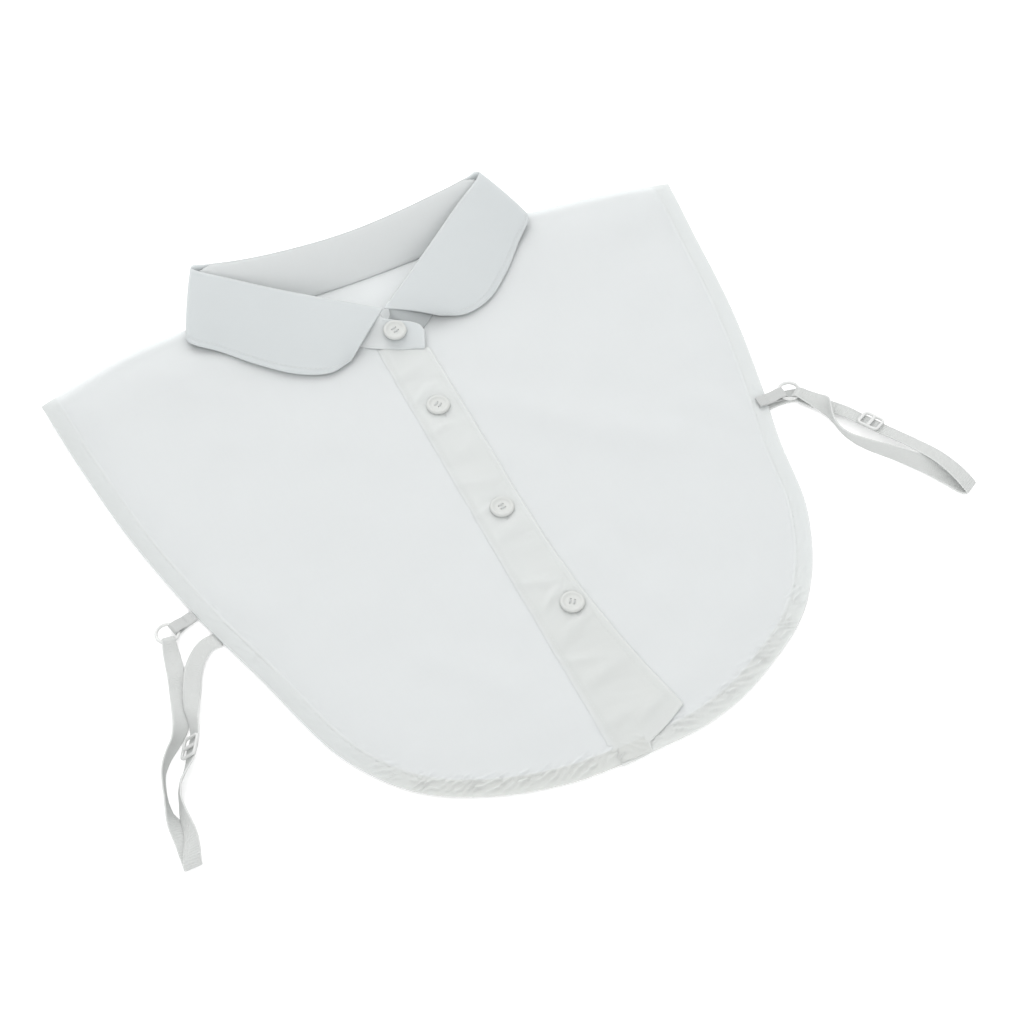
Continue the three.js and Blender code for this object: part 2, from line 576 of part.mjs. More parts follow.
// A ribbon round the wire of the ring, with its two ends one on the other
function tabGeometry(length) {
  const bend = RING_WIRE + GAP + 0.1;
  const outer = bend + TAB_WALL;
  const inside = 1.2;
  const closed = 4.6;
  const setBack = 1;
  const loop = new THREE.Shape();
  loop.moveTo(length, -TAB_WALL);
  loop.lineTo(length, TAB_WALL);
  loop.lineTo(closed, TAB_WALL);
  loop.lineTo(inside, outer);
  loop.absarc(-setBack, 0, outer, Math.PI / 2, 1.5 * Math.PI, false);
  loop.lineTo(inside, -outer);
  loop.lineTo(closed, -TAB_WALL);
  loop.closePath();
  const eye = new THREE.Path();
  eye.absarc(-setBack, 0, bend, 1.5 * Math.PI, Math.PI / 2, true);
  eye.lineTo(inside, bend);
  eye.lineTo(inside, -bend);
  eye.closePath();
  loop.holes.push(eye);
  return new THREE.ExtrudeGeometry(loop, { depth: TAB_WIDTH, bevelEnabled: false, curveSegments: 6 })
    .translate(0, 0, -TAB_WIDTH / 2)
    .rotateX(Math.PI / 2);
}

const TABS = [
  { side: 'left', ring: [-173.6, 5, 2.9], length: 10.2, heading: 15, rise: 0 },
  { side: 'right', ring: [169.7, 5.1, 3.7], length: 13.2, heading: 180, rise: 2 },
];
for (const { side, ring, length, heading, rise } of TABS) {
  const wire = new THREE.TorusGeometry(RING_RADIUS, RING_WIRE, WIRE_SIDES, RING_SIDES);
  addPart(`ring_${side}`, wire, plastic).position.set(...ring);
  const turn = THREE.MathUtils.degToRad(heading);
  const tab = addPart(`tab_${side}`, tabGeometry(length), ribbon);
  tab.position.set(
    ring[0] + RING_RADIUS * Math.cos(turn), ring[1] + RING_RADIUS * Math.sin(turn), ring[2],
  );
  tab.rotation.set(0, -THREE.MathUtils.degToRad(rise), turn, 'ZYX');
}

// Slides: a small frame with a middle bar, on the strap
const SLIDE_LENGTH = 12;
const SLIDE_WIDTH = 11.4;
const SLIDE_WALL = 1.5;
const SLOT_LENGTH = 3;
const SLOT_WIDTH = ELASTIC_WIDTH + 2 * GAP;
const SLOT_PLACE = 2.6;         // from the middle of the slide to the middle of a slot

function slideGeometry() {
  const corner = 2;
  const steps = 3;
  const outline = [];
  [[1, 1], [-1, 1], [-1, -1], [1, -1]].forEach(([toX, toY], quarter) => {
    for (let k = 0; k <= steps; k += 1) {
      const angle = (quarter + k / steps) * Math.PI / 2;
      outline.push(new THREE.Vector2(
        toX * (SLIDE_LENGTH / 2 - corner) + corner * Math.cos(angle),
        toY * (SLIDE_WIDTH / 2 - corner) + corner * Math.sin(angle),
      ));
    }
  });
  const plate = new THREE.Shape(outline);
  const blank = new THREE.ExtrudeGeometry(plate, { depth: SLIDE_WALL, bevelEnabled: false });
  let solid = toManifold(blank);
  for (const place of [-SLOT_PLACE, SLOT_PLACE]) {
    const slot = new THREE.BoxGeometry(SLOT_LENGTH, SLOT_WIDTH, 4 * SLIDE_WALL).translate(place, 0, 0);
    solid = solid.subtract(toManifold(slot));
  }
  return toGeometry(solid).translate(0, 0, ELASTIC_WALL / 2 + GAP);
}

function addSlide(name, rows, row) {
  const { path, sideAt, last } = strapRoute(rows);
  const along = path.getTangent(row / last);
  const up = sideAt(row / last).cross(along).normalize();
  const basis = new THREE.Matrix4().makeBasis(along, up.clone().cross(along), up);
  const slide = addPart(name, slideGeometry(), plastic);
  slide.position.copy(path.getPoint(row / last));
  slide.setRotationFromMatrix(basis);
}
addSlide('slide_left', LEFT_ROUTE, LEFT_SLIDE_ROW);
addSlide('slide_right', RIGHT_ROUTE, RIGHT_SLIDE_ROW);

export default collar;
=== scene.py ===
# %% [markdown]
# # A detachable shirt collar
# A white cotton collar on a short bib lies on its back on a white table. It is almost flat and almost
# one colour, so the picture lives on small things: the roll of the collar, the thickness of each layer,
# the puckers along the hem, the buttons and the ribbed elastic straps.
#
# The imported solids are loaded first. They give every piece its place, and each cloth piece below is a
# finer copy of its solid, made from nearly the same curves. Lengths are in millimetres until a mesh is made.

# %% Load the frame
import bpy
import math
import numpy as np
from mathutils import Matrix, Vector


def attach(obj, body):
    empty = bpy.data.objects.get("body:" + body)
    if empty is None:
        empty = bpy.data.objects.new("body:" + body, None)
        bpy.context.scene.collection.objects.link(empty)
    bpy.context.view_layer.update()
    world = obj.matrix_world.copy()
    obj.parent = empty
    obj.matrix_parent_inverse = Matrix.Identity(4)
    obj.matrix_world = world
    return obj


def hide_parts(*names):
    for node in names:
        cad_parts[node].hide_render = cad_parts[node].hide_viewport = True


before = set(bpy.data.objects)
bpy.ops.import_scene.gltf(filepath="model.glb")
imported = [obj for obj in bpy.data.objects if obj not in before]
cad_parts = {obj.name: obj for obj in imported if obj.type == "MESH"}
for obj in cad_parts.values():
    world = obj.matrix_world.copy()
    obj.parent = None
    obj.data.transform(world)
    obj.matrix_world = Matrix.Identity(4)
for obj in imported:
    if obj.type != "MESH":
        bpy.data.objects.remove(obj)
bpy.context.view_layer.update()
print("solids:", len(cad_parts))


def new_object(name, data):
    item = bpy.data.objects.new(name, data)
    bpy.context.scene.collection.objects.link(item)
    return item


# %% [markdown]
# ## The camera
# The photograph looks down on the collar at about 54 degrees with a fairly long lens. The three
# directions of the picture are written out, which fixes the roll as well as the aim.

# %% Camera
PICTURE = 1024
FOCAL_PIXELS = 2250
RIGHT = Vector((0.9003, -0.4352, 0.0))
UP = Vector((0.3516, 0.7274, 0.5892))
BACK = Vector((-0.2564, -0.5305, 0.8080))
AIM = Vector((0.0076, 0.0, 0.0))
DISTANCE = 1.125

camera = new_object("camera", bpy.data.cameras.new("camera"))
camera.data.lens = camera.data.sensor_width * FOCAL_PIXELS / PICTURE
facing = Matrix((RIGHT, UP, BACK)).transposed().to_4x4()
camera.matrix_world = Matrix.Translation(AIM + BACK * DISTANCE) @ facing
bpy.context.scene.camera = camera
print("lens", round(camera.data.lens, 1), "mm")

# %% [markdown]
# ## Light and table
# White on white: the table glows a little, as an overexposed one does, and burns out to pure white. An
# even sky fills the shadows. Two broad suns, so that both ends of the bib get the same light, do the
# rest: one behind the collar shades whatever leans towards the viewer, and one in front of it reaches
# the inside of the neck.

# %% Light and table
SKY = 0.74
SUNS = [  # name, where it stands, strength, spread
    ("sun_behind", (0.35, 1.55, 1.35), 1.5, 60),
    ("sun_in_front", (-0.35, -0.8, 1.0), 1.25, 70),
]
TABLE_GLOW = 0.22

world = bpy.data.worlds.new("sky")
world.use_nodes = True
world.node_tree.nodes["Background"].inputs["Color"].default_value = (1, 1, 1, 1)
world.node_tree.nodes["Background"].inputs["Strength"].default_value = SKY
bpy.context.scene.world = world
bpy.context.scene.view_settings.view_transform = "Standard"

for name, place, strength, spread in SUNS:
    sun = bpy.data.lights.new(name, "SUN")
    sun.energy = strength
    sun.angle = math.radians(spread)
    new_object(name, sun).rotation_euler = (-Vector(place)).to_track_quat("-Z", "Y").to_euler()

bpy.ops.mesh.primitive_plane_add(size=12, location=(0, 0, -0.0002))
table = bpy.context.object
table.name = "table"
print("lights:", [name for name, *_ in SUNS])

# %% [markdown]
# ## Materials
# All the cloth is one white poplin, a fine plain weave. Its height is the product of two waves, one for
# the warp and one for the weft, read from each piece's own UV map, which holds millimetres of cloth.
# Threads are never quite even, so two stretched noises thicken some of them. Where several layers lie
# on each other, less of the white table shines through, so an attribute named "layers" makes the hem
# and the placket a shade darker. The collar's cloth is a darker copy of the poplin, painted shade, and
# there the same attribute paints light on the stand, whose inside shows in the neck, and paints shade
# on the tab and on the far end of the stand. A second attribute paints shade: it greys the cloth where
# little light follows, under the tab and at its mouth, at the corner of the right front, and along the
# rim of the hem. The back panel shows only inside the neck, where it looks brighter than the fronts, so
# it has a lighter copy of the poplin: painted light.

# %% Node helpers
def new_material(name):
    made = bpy.data.materials.new(name)
    made.use_nodes = True
    return made, made.node_tree.nodes, made.node_tree.links


def add(nodes, kind, **values):
    """A new node; values are its properties, or its inputs by name."""
    node = nodes.new(kind)
    for key, value in values.items():
        if hasattr(node, key):
            setattr(node, key, value)
        else:
            node.inputs[key.replace("_", " ")].default_value = value
    return node


def maths(nodes, links, operation, first, second=None):
    node = add(nodes, "ShaderNodeMath", operation=operation)
    for socket, value in zip(node.inputs, (first, second)):
        if isinstance(value, (int, float)):
            socket.default_value = value
        elif value is not None:
            links.new(value, socket)
    return node.outputs[0]


def set_inputs(node, **values):
    """Sets inputs by name, an underscore standing for a space."""
    for key, value in values.items():
        node.inputs[key.replace("_", " ")].default_value = value


def cloth_place(nodes, links):
    """The UV map in millimetres of cloth, whole and in its parts."""
    place = add(nodes, "ShaderNodeUVMap", uv_map="cloth")
    split = add(nodes, "ShaderNodeSeparateXYZ")
    links.new(place.outputs[0], split.inputs[0])
    return place.outputs[0], split.outputs


def noise_at(nodes, links, place, **values):
    noise = add(nodes, "ShaderNodeTexNoise", **values)
    links.new(place, noise.inputs["Vector"])
    return noise.outputs[0]


def blended(nodes, links, first, second, share):
    blend = add(nodes, "ShaderNodeMix", data_type="RGBA")
    blend.inputs[6].default_value = (*first, 1)
    blend.inputs[7].default_value = (*second, 1)
    links.new(share, blend.inputs[0])
    return blend.outputs[2]


def raise_surface(nodes, links, shader, height, strength, distance):
    relief = add(nodes, "ShaderNodeBump", Strength=strength, Distance=distance)
    links.new(height, relief.inputs["Height"])
    links.new(relief.outputs[0], shader.inputs["Normal"])


# %% Poplin
THREAD_PITCH = 0.42
THREAD_BUMP = 0.000014
SLUB_SHADE = 0.02
SLUB_BUMP = 1.6
PAINTED_SHADE_DEPTH = 0.3


def woven(name, colour, layered_and_lit, sheen=0.12, bump=THREAD_BUMP, mottle=0.02):
    """Plain-woven cloth; "layers" paints in the second colour: shade on thick cloth, light on the collar's
    stand.
    """
    made, nodes, links = new_material(name)
    shader = nodes["Principled BSDF"]
    set_inputs(shader, Roughness=0.85, Specular_IOR_Level=0.22, Sheen_Weight=sheen, Sheen_Roughness=0.45,
               Subsurface_Weight=0.5, Subsurface_Radius=(1, 1, 1), Subsurface_Scale=0.003)
    place, split = cloth_place(nodes, links)
    warp, weft = (
        maths(nodes, links, "SINE", maths(nodes, links, "MULTIPLY", axis, math.tau / THREAD_PITCH))
        for axis in split[:2]
    )
    weave = maths(nodes, links, "MULTIPLY", warp, weft)
    slubs = []
    for stretch in ((3.0, 0.06, 1), (0.06, 3.0, 1)):
        turn = add(nodes, "ShaderNodeMapping")
        turn.inputs["Scale"].default_value = stretch
        links.new(place, turn.inputs[0])
        slubs.append(noise_at(nodes, links, turn.outputs[0], Scale=1.0, Detail=1.0))
    slub = maths(nodes, links, "ADD", *slubs)
    height = maths(nodes, links, "ADD", weave, maths(nodes, links, "MULTIPLY", slub, SLUB_BUMP))
    raise_surface(nodes, links, shader, height, 1.0, bump)
    # The "layers" attribute paints in the second colour: painted shade on doubled cloth, painted light on the
    # collar's stand.
    layers = add(nodes, "ShaderNodeAttribute", attribute_name="layers")
    base = blended(nodes, links, colour, layered_and_lit, layers.outputs["Fac"])
    cloud = noise_at(nodes, links, place, Scale=0.03, Detail=3.0)
    tone = maths(nodes, links, "ADD", maths(nodes, links, "MULTIPLY", cloud, mottle),
                 maths(nodes, links, "MULTIPLY", slub, SLUB_SHADE))
    shade = maths(nodes, links, "ADD", tone, 1 - mottle / 2 - SLUB_SHADE)
    # Painted shade: the second attribute greys the cloth under the collar's tab, at the right front's corner
    # and along the hem's rim.
    tucked = add(nodes, "ShaderNodeAttribute", attribute_name="tucked")
    lost = maths(nodes, links, "MULTIPLY", tucked.outputs["Fac"], PAINTED_SHADE_DEPTH)
    shade = maths(nodes, links, "SUBTRACT", shade, lost)
    tint = add(nodes, "ShaderNodeVectorMath", operation="SCALE")
    links.new(base, tint.inputs[0])
    links.new(shade, tint.inputs["Scale"])
    links.new(tint.outputs[0], shader.inputs["Base Color"])
    return made


POPLIN = woven("poplin", (0.655, 0.682, 0.686), (0.545, 0.560, 0.544))
# Painted light: the back panel's poplin is a lighter copy of the same cloth.
BACK_POPLIN_PAINTED_LIGHT = woven("poplin_back_painted_light", (0.715, 0.742, 0.746), (0.605, 0.620, 0.604))
# Painted shade: the collar's cloth is a darker copy of the poplin; its second colour is the painted light of
# the stand.
COLLAR_CLOTH = woven("collar_cloth", (0.550, 0.578, 0.584), (0.690, 0.712, 0.712), bump=0.00001, mottle=0.012)
print("cloth:", POPLIN.name, BACK_POPLIN_PAINTED_LIGHT.name, COLLAR_CLOTH.name)

# %% [markdown]
# The straps are a ribbed elastic: the ribs are real geometry, made further down, and the material adds
# the fine lengthwise threads between them. The ribbon of the tabs is smoother and catches more light.
# The rings and slides are milky moulded plastic, and the buttons have the clouded gloss of mother of
# pearl.

# %% Elastic, ribbon and thread
def threads_along(name, colour, roughness, pitch, bump, sheen):
    made, nodes, links = new_material(name)
    shader = nodes["Principled BSDF"]
    set_inputs(shader, Roughness=roughness, Specular_IOR_Level=0.3, Sheen_Weight=sheen)
    place, split = cloth_place(nodes, links)
    lines = maths(nodes, links, "SINE", maths(nodes, links, "MULTIPLY", split[1], math.tau / pitch))
    noise = noise_at(nodes, links, place, Scale=1.4, Detail=2.0)
    raise_surface(nodes, links, shader, maths(nodes, links, "ADD", lines, noise), 1.0, bump)
    ramp = add(nodes, "ShaderNodeMapRange", To_Min=0.94, To_Max=1.05)
    links.new(noise, ramp.inputs["Value"])
    tint = add(nodes, "ShaderNodeVectorMath", operation="SCALE")
    tint.inputs[0].default_value = colour
    links.new(ramp.outputs[0], tint.inputs["Scale"])
    links.new(tint.outputs[0], shader.inputs["Base Color"])
    return made


ELASTIC = threads_along("elastic", (0.630, 0.645, 0.635), 0.75, 0.5, 0.00008, 0.1)
RIBBON = threads_along("ribbon", (0.530, 0.542, 0.535), 0.5, 0.3, 0.00004, 0.2)
THREAD = threads_along("thread", (0.620, 0.640, 0.635), 0.6, 0.2, 0.00002, 0.1)
print("threads:", ELASTIC.name, RIBBON.name, THREAD.name)

# %% Plastic and pearl
def moulded(name, colour, veins, roughness, coat, scale, clear):
    """Smooth plastic whose colour drifts towards veins, on Object coordinates."""
    made, nodes, links = new_material(name)
    shader = nodes["Principled BSDF"]
    set_inputs(shader, Roughness=roughness, Coat_Weight=coat, Coat_Roughness=0.12,
               Transmission_Weight=clear, Subsurface_Weight=0.25, Subsurface_Radius=(0.002, 0.002, 0.002))
    place = add(nodes, "ShaderNodeTexCoord").outputs["Object"]
    noise = noise_at(nodes, links, place, Scale=scale, Detail=3.0, Distortion=1.5)
    links.new(blended(nodes, links, colour, veins, noise), shader.inputs["Base Color"])
    raise_surface(nodes, links, shader, noise, 0.5, 0.00003)
    return made


MILKY = moulded("milky_plastic", (0.78, 0.79, 0.78), (0.72, 0.73, 0.72), 0.35, 0.25, 300, 0.2)
PEARL = moulded("pearl", (0.550, 0.563, 0.545), (0.52, 0.533, 0.52), 0.5, 0.1, 160, 0.0)

made, nodes, links = new_material("table_top")
set_inputs(nodes["Principled BSDF"], Base_Color=(0.93, 0.93, 0.93, 1), Roughness=0.9, Specular_IOR_Level=0.1,
           Emission_Color=(1, 1, 1, 1), Emission_Strength=TABLE_GLOW)
grain = add(nodes, "ShaderNodeTexNoise", Scale=400.0, Detail=2.0)
raise_surface(nodes, links, nodes["Principled BSDF"], grain.outputs[0], 0.1, 0.0001)
table.data.materials.append(made)
print("smooth:", MILKY.name, PEARL.name, made.name)

# %% [markdown]
# ## Curves and shells
# Every cloth edge is a smooth curve through a few points. The curve is a centripetal Catmull-Rom
# spline, the one the solids were made with. A piece of cloth is a grid of points for the middle of its
# wall; the shell puts half the thickness on each side and rounds the rim.

# %% Curves
def through(points):
    """A smooth curve through the points, as a function of an array of 0 to 1."""
    points = np.array(points, float)
    before, after = 2 * points[0] - points[1], 2 * points[-1] - points[-2]
    padded = np.vstack([before, points, after])
    last = len(points) - 1

    def at(t):
        t = np.atleast_1d(np.asarray(t, float)) * last
        place = np.clip(np.floor(t).astype(int), 0, last - 1)
        w = (t - place)[:, None]
        a, b, c, d = (padded[place + k] for k in range(4))
        ab, bc, cd = (np.sqrt(np.linalg.norm(q - p, axis=1))[:, None] for p, q in ((a, b), (b, c), (c, d)))
        start = ((b - a) / ab - (c - a) / (ab + bc) + (c - b) / bc) * bc
        end = ((c - b) / bc - (d - b) / (bc + cd) + (d - c) / cd) * bc
        return (b + start * w + (3 * (c - b) - 2 * start - end) * w**2
                + (2 * (b - c) + start + end) * w**3)

    return at


def smooth(low, high, value):
    t = np.clip((value - low) / (high - low), 0, 1)
    return t * t * (3 - 2 * t)


# %% Cloth shells
def grid_normals(grid):
    along = np.gradient(grid, axis=0)
    across = np.gradient(grid, axis=1)
    normal = np.cross(along, across)
    return normal / np.maximum(np.linalg.norm(normal, axis=2, keepdims=True), 1e-9)


def cloth_lengths(grid):
    """Millimetres of cloth from the grid's middle, along both of its directions."""
    along = np.linalg.norm(np.diff(grid, axis=0), axis=2)
    across = np.linalg.norm(np.diff(grid, axis=1), axis=2)
    run = np.vstack([np.zeros(grid.shape[1]), np.cumsum(along, axis=0)])
    rise = np.hstack([np.zeros((grid.shape[0], 1)), np.cumsum(across, axis=1)])
    return np.stack([run - run[len(run) // 2], rise], axis=2)


def smooth_faces(mesh):
    mesh.polygons.foreach_set("use_smooth", np.ones(len(mesh.polygons), bool))


def mesh_piece(name, points, faces, cloth, material, marks):
    """An object from points in millimetres, with cloth lengths as its UV map and marks as attributes."""
    mesh = bpy.data.meshes.new(name)
    mesh.from_pydata((points / 1000).tolist(), [], faces.tolist())
    corners = np.empty(len(mesh.loops), np.int32)
    mesh.loops.foreach_get("vertex_index", corners)
    mesh.uv_layers.new(name="cloth").data.foreach_set("uv", cloth[corners].astype(np.float32).ravel())
    for key, values in marks.items():
        mesh.attributes.new(key, "FLOAT", "POINT").data.foreach_set("value", values.astype(np.float32))
    smooth_faces(mesh)
    mesh.materials.append(material)
    mesh.update()
    return new_object(name, mesh)


def shell(name, grid, thickness, material, cloth=None, **marks):
    """A closed wall with a rounded rim, on both sides of a grid of points."""
    columns, rows = grid.shape[:2]
    half = np.broadcast_to(np.asarray(thickness, float) / 2, (columns, rows))[:, :, None]
    normal = grid_normals(grid)
    cloth = cloth_lengths(grid) if cloth is None else cloth
    index = np.arange(columns * rows).reshape(columns, rows)
    rim = np.concatenate([index[:-1, 0], index[-1, :-1], index[:0:-1, -1], index[0, :0:-1]])
    flat = grid.reshape(-1, 3)
    ahead = np.roll(flat[rim], -1, axis=0) - np.roll(flat[rim], 1, axis=0)
    outward = np.cross(ahead, normal.reshape(-1, 3)[rim])
    outward /= np.maximum(np.linalg.norm(outward, axis=1, keepdims=True), 1e-9)
    nose = flat[rim] + outward * half.reshape(-1, 1)[rim]
    points = np.vstack([(grid + normal * half).reshape(-1, 3), (grid - normal * half).reshape(-1, 3), nose])
    top = np.stack([index[:-1, :-1], index[1:, :-1], index[1:, 1:], index[:-1, 1:]], -1).reshape(-1, 4)
    under = top[:, ::-1] + columns * rows
    ring = 2 * columns * rows + np.arange(len(rim))
    ring_next, rim_next = np.roll(ring, -1), np.roll(rim, -1)
    upper_side = np.stack([rim, ring, ring_next, rim_next], -1)
    lower_side = np.stack([ring, rim + columns * rows, rim_next + columns * rows, ring_next], -1)
    every = np.concatenate([index.ravel(), index.ravel(), rim])
    return mesh_piece(
        name, points, np.vstack([top, under, upper_side, lower_side]), cloth.reshape(-1, 2)[every], material,
        {key: np.broadcast_to(value, (columns, rows)).ravel()[every] for key, value in marks.items()},
    )


def area_of(grid):
    """Square metres of cloth in a grid of millimetres."""
    side = grid[1:, :-1] - grid[:-1, :-1], grid[:-1, 1:] - grid[:-1, :-1]
    return float(np.linalg.norm(np.cross(*side), axis=2).sum()) / 1e6


# %% [markdown]
# ## Geometry Nodes for what repeats
# Three small trees do all the repeated work: one sets stitches along a line, one raises the ribs of the
# elastic, and one gathers the hem into puckers. Each has named inputs for its sizes, and its result is
# turned into a plain mesh straight away.

# %% Running a tree
def new_tree(name, inputs):
    tree = bpy.data.node_groups.new(name, "GeometryNodeTree")
    tree.interface.new_socket("Geometry", in_out="INPUT", socket_type="NodeSocketGeometry")
    for key, kind in inputs.items():
        tree.interface.new_socket(key, in_out="INPUT", socket_type=kind)
    tree.interface.new_socket("Geometry", in_out="OUTPUT", socket_type="NodeSocketGeometry")
    return tree, tree.nodes.new("NodeGroupInput").outputs, tree.nodes.new("NodeGroupOutput").inputs


def run_tree(item, tree, **values):
    """Runs a tree on an object and keeps the result as the object's plain mesh."""
    modifier = item.modifiers.new(tree.name, "NODES")
    modifier.node_group = tree
    sockets = {s.name: s.identifier for s in tree.interface.items_tree if s.in_out == "INPUT"}
    for key, value in values.items():
        modifier[sockets[key]] = value
    graph = bpy.context.evaluated_depsgraph_get()
    result = bpy.data.meshes.new_from_object(item.evaluated_get(graph), preserve_all_data_layers=True,
                                             depsgraph=graph)
    item.modifiers.clear()
    item.data = result


def close_tree(nodes, links, geometry, material, out):
    """Makes the geometry real, gives it its material and sends it out of the tree."""
    realize = add(nodes, "GeometryNodeRealizeInstances")
    finish = add(nodes, "GeometryNodeSetMaterial")
    links.new(geometry, realize.inputs[0])
    links.new(realize.outputs[0], finish.inputs["Geometry"])
    links.new(material, finish.inputs["Material"])
    links.new(finish.outputs[0], out[0])


def named(nodes, name, data_type="FLOAT"):
    """A named attribute of the mesh."""
    return add(nodes, "GeometryNodeInputNamedAttribute", data_type=data_type, Name=name).outputs[0]


# %% Stitches along a line
FLOAT, MATERIAL = "NodeSocketFloat", "NodeSocketMaterial"
BEAD_SEGMENTS, BEAD_RINGS = 6, 5
stitch_tree, given, out = new_tree(
    "stitches", {"Pitch": FLOAT, "Length": FLOAT, "Thickness": FLOAT, "Turn": FLOAT, "Thread": MATERIAL})
nodes, links = stitch_tree.nodes, stitch_tree.links
to_curve = add(nodes, "GeometryNodeMeshToCurve")
spread = add(nodes, "GeometryNodeResampleCurve", mode="LENGTH")
bead = add(nodes, "GeometryNodeMeshUVSphere", Segments=BEAD_SEGMENTS, Rings=BEAD_RINGS, Radius=0.5)
size = add(nodes, "ShaderNodeCombineXYZ")
lay = add(nodes, "GeometryNodeTransform")
tangent = add(nodes, "GeometryNodeInputTangent")
along = add(nodes, "FunctionNodeAlignRotationToVector", axis="X")
level = add(nodes, "FunctionNodeAlignRotationToVector", axis="Z", pivot_axis="X")
turn = add(nodes, "FunctionNodeAxisAngleToRotation", Axis=(0, 0, 1))
turned = add(nodes, "FunctionNodeRotateRotation", rotation_space="LOCAL")
place = add(nodes, "GeometryNodeInstanceOnPoints")
links.new(given["Geometry"], to_curve.inputs[0])
links.new(to_curve.outputs[0], spread.inputs["Curve"])
links.new(given["Pitch"], spread.inputs["Length"])
links.new(given["Length"], size.inputs[0])
links.new(given["Thickness"], size.inputs[1])
links.new(given["Thickness"], size.inputs[2])
links.new(bead.outputs[0], lay.inputs["Geometry"])
links.new(size.outputs[0], lay.inputs["Scale"])
links.new(tangent.outputs[0], along.inputs["Vector"])
links.new(along.outputs[0], level.inputs["Rotation"])
links.new(named(nodes, "up", "FLOAT_VECTOR"), level.inputs["Vector"])
links.new(level.outputs[0], turned.inputs["Rotation"])
links.new(given["Turn"], turn.inputs["Angle"])
links.new(turn.outputs[0], turned.inputs["Rotate By"])
links.new(spread.outputs[0], place.inputs["Points"])
links.new(lay.outputs[0], place.inputs["Instance"])
links.new(turned.outputs[0], place.inputs["Rotation"])
close_tree(nodes, links, place.outputs[0], given["Thread"], out)


def stitch_line(name, line, up, pitch=2.6, length=2.1, thickness=0.34, turn=0.0):
    """Stitches along a line of points in millimetres; up is the cloth's own upward direction there."""
    mesh = bpy.data.meshes.new(name)
    count = len(line)
    mesh.from_pydata((np.asarray(line) / 1000).tolist(), [(k, k + 1) for k in range(count - 1)], [])
    ups = np.broadcast_to(np.asarray(up, np.float32), (count, 3))
    mesh.attributes.new("up", "FLOAT_VECTOR", "POINT").data.foreach_set("vector", ups.ravel())
    item = new_object(name, mesh)
    run_tree(item, stitch_tree, Pitch=pitch / 1000, Length=length / 1000, Thickness=thickness / 1000,
             Turn=turn, Thread=THREAD)
    smooth_faces(item.data)
    item.data.uv_layers.new(name="cloth")
    return item


# %% Ribs of the elastic
rib_tree, given, out = new_tree("ribs", {"Pitch": FLOAT, "Depth": FLOAT, "Cloth": MATERIAL})
nodes, links = rib_tree.nodes, rib_tree.links
phase = maths(nodes, links, "DIVIDE", named(nodes, "run"), given["Pitch"])
wave = maths(nodes, links, "SINE", maths(nodes, links, "MULTIPLY", phase, math.tau))
depth = maths(nodes, links, "MULTIPLY", wave, given["Depth"])
normal = add(nodes, "GeometryNodeInputNormal")
push = add(nodes, "ShaderNodeVectorMath", operation="SCALE")
move = add(nodes, "GeometryNodeSetPosition")
links.new(normal.outputs[0], push.inputs[0])
links.new(depth, push.inputs["Scale"])
links.new(given["Geometry"], move.inputs["Geometry"])
links.new(push.outputs[0], move.inputs["Offset"])
close_tree(nodes, links, move.outputs[0], given["Cloth"], out)

# %% [markdown]
# A narrow hem on a curved edge has too much cloth in its fold, and the thread draws it into small slanted
# gathers. The tree reads three attributes of the panel: how far along the hem a point is, how far inside
# the edge, and how strongly the hem is gathered there. It lifts the cloth by a wave along the hem whose
# phase wanders with a noise.

# %% Puckers of the hem
pucker_tree, given, out = new_tree("hem_puckers", {"Pitch": FLOAT, "Slant": FLOAT, "Height": FLOAT,
                                                   "Hem": FLOAT, "Wander": FLOAT, "Cloth": MATERIAL})
nodes, links = pucker_tree.nodes, pucker_tree.links
PATCH_OFFSET = 1234.5
run, inset, gather = (named(nodes, name) for name in ("hem_run", "hem_inset", "hem_gather"))
drift = add(nodes, "ShaderNodeTexNoise", noise_dimensions="1D", Scale=0.07, Detail=2.0)
patchy = add(nodes, "ShaderNodeTexNoise", noise_dimensions="1D", Scale=0.09, Detail=0.0)
links.new(run, drift.inputs["W"])
links.new(maths(nodes, links, "ADD", run, PATCH_OFFSET), patchy.inputs["W"])
slanted = maths(nodes, links, "ADD", run, maths(nodes, links, "MULTIPLY", inset, given["Slant"]))
cycles = maths(nodes, links, "ADD", maths(nodes, links, "DIVIDE", slanted, given["Pitch"]),
               maths(nodes, links, "MULTIPLY", drift.outputs[0], given["Wander"]))
sine = maths(nodes, links, "SINE", maths(nodes, links, "MULTIPLY", cycles, math.tau))
above = maths(nodes, links, "MULTIPLY", maths(nodes, links, "ADD", sine, 1.0), 0.5)
wave = maths(nodes, links, "POWER", above, 3.0)
share = maths(nodes, links, "DIVIDE", inset, given["Hem"])
inner = add(nodes, "ShaderNodeMapRange", interpolation_type="SMOOTHSTEP", From_Min=1.7, From_Max=0.85)
outer = add(nodes, "ShaderNodeMapRange", interpolation_type="SMOOTHSTEP", From_Min=-0.3, From_Max=0.6)
links.new(share, inner.inputs["Value"])
links.new(share, outer.inputs["Value"])
ridge = maths(nodes, links, "MULTIPLY", inner.outputs[0], outer.outputs[0])
strength = add(nodes, "ShaderNodeMapRange", From_Min=0.15, From_Max=0.6)
links.new(patchy.outputs[0], strength.inputs["Value"])
amount = maths(nodes, links, "MULTIPLY", maths(nodes, links, "MULTIPLY", strength.outputs[0], gather),
               given["Height"])
height = maths(nodes, links, "MULTIPLY", maths(nodes, links, "MULTIPLY", wave, ridge), amount)
lift = add(nodes, "ShaderNodeCombineXYZ")
move = add(nodes, "GeometryNodeSetPosition")
links.new(height, lift.inputs[2])
links.new(given["Geometry"], move.inputs["Geometry"])
links.new(lift.outputs[0], move.inputs["Offset"])
close_tree(nodes, links, move.outputs[0], given["Cloth"], out)

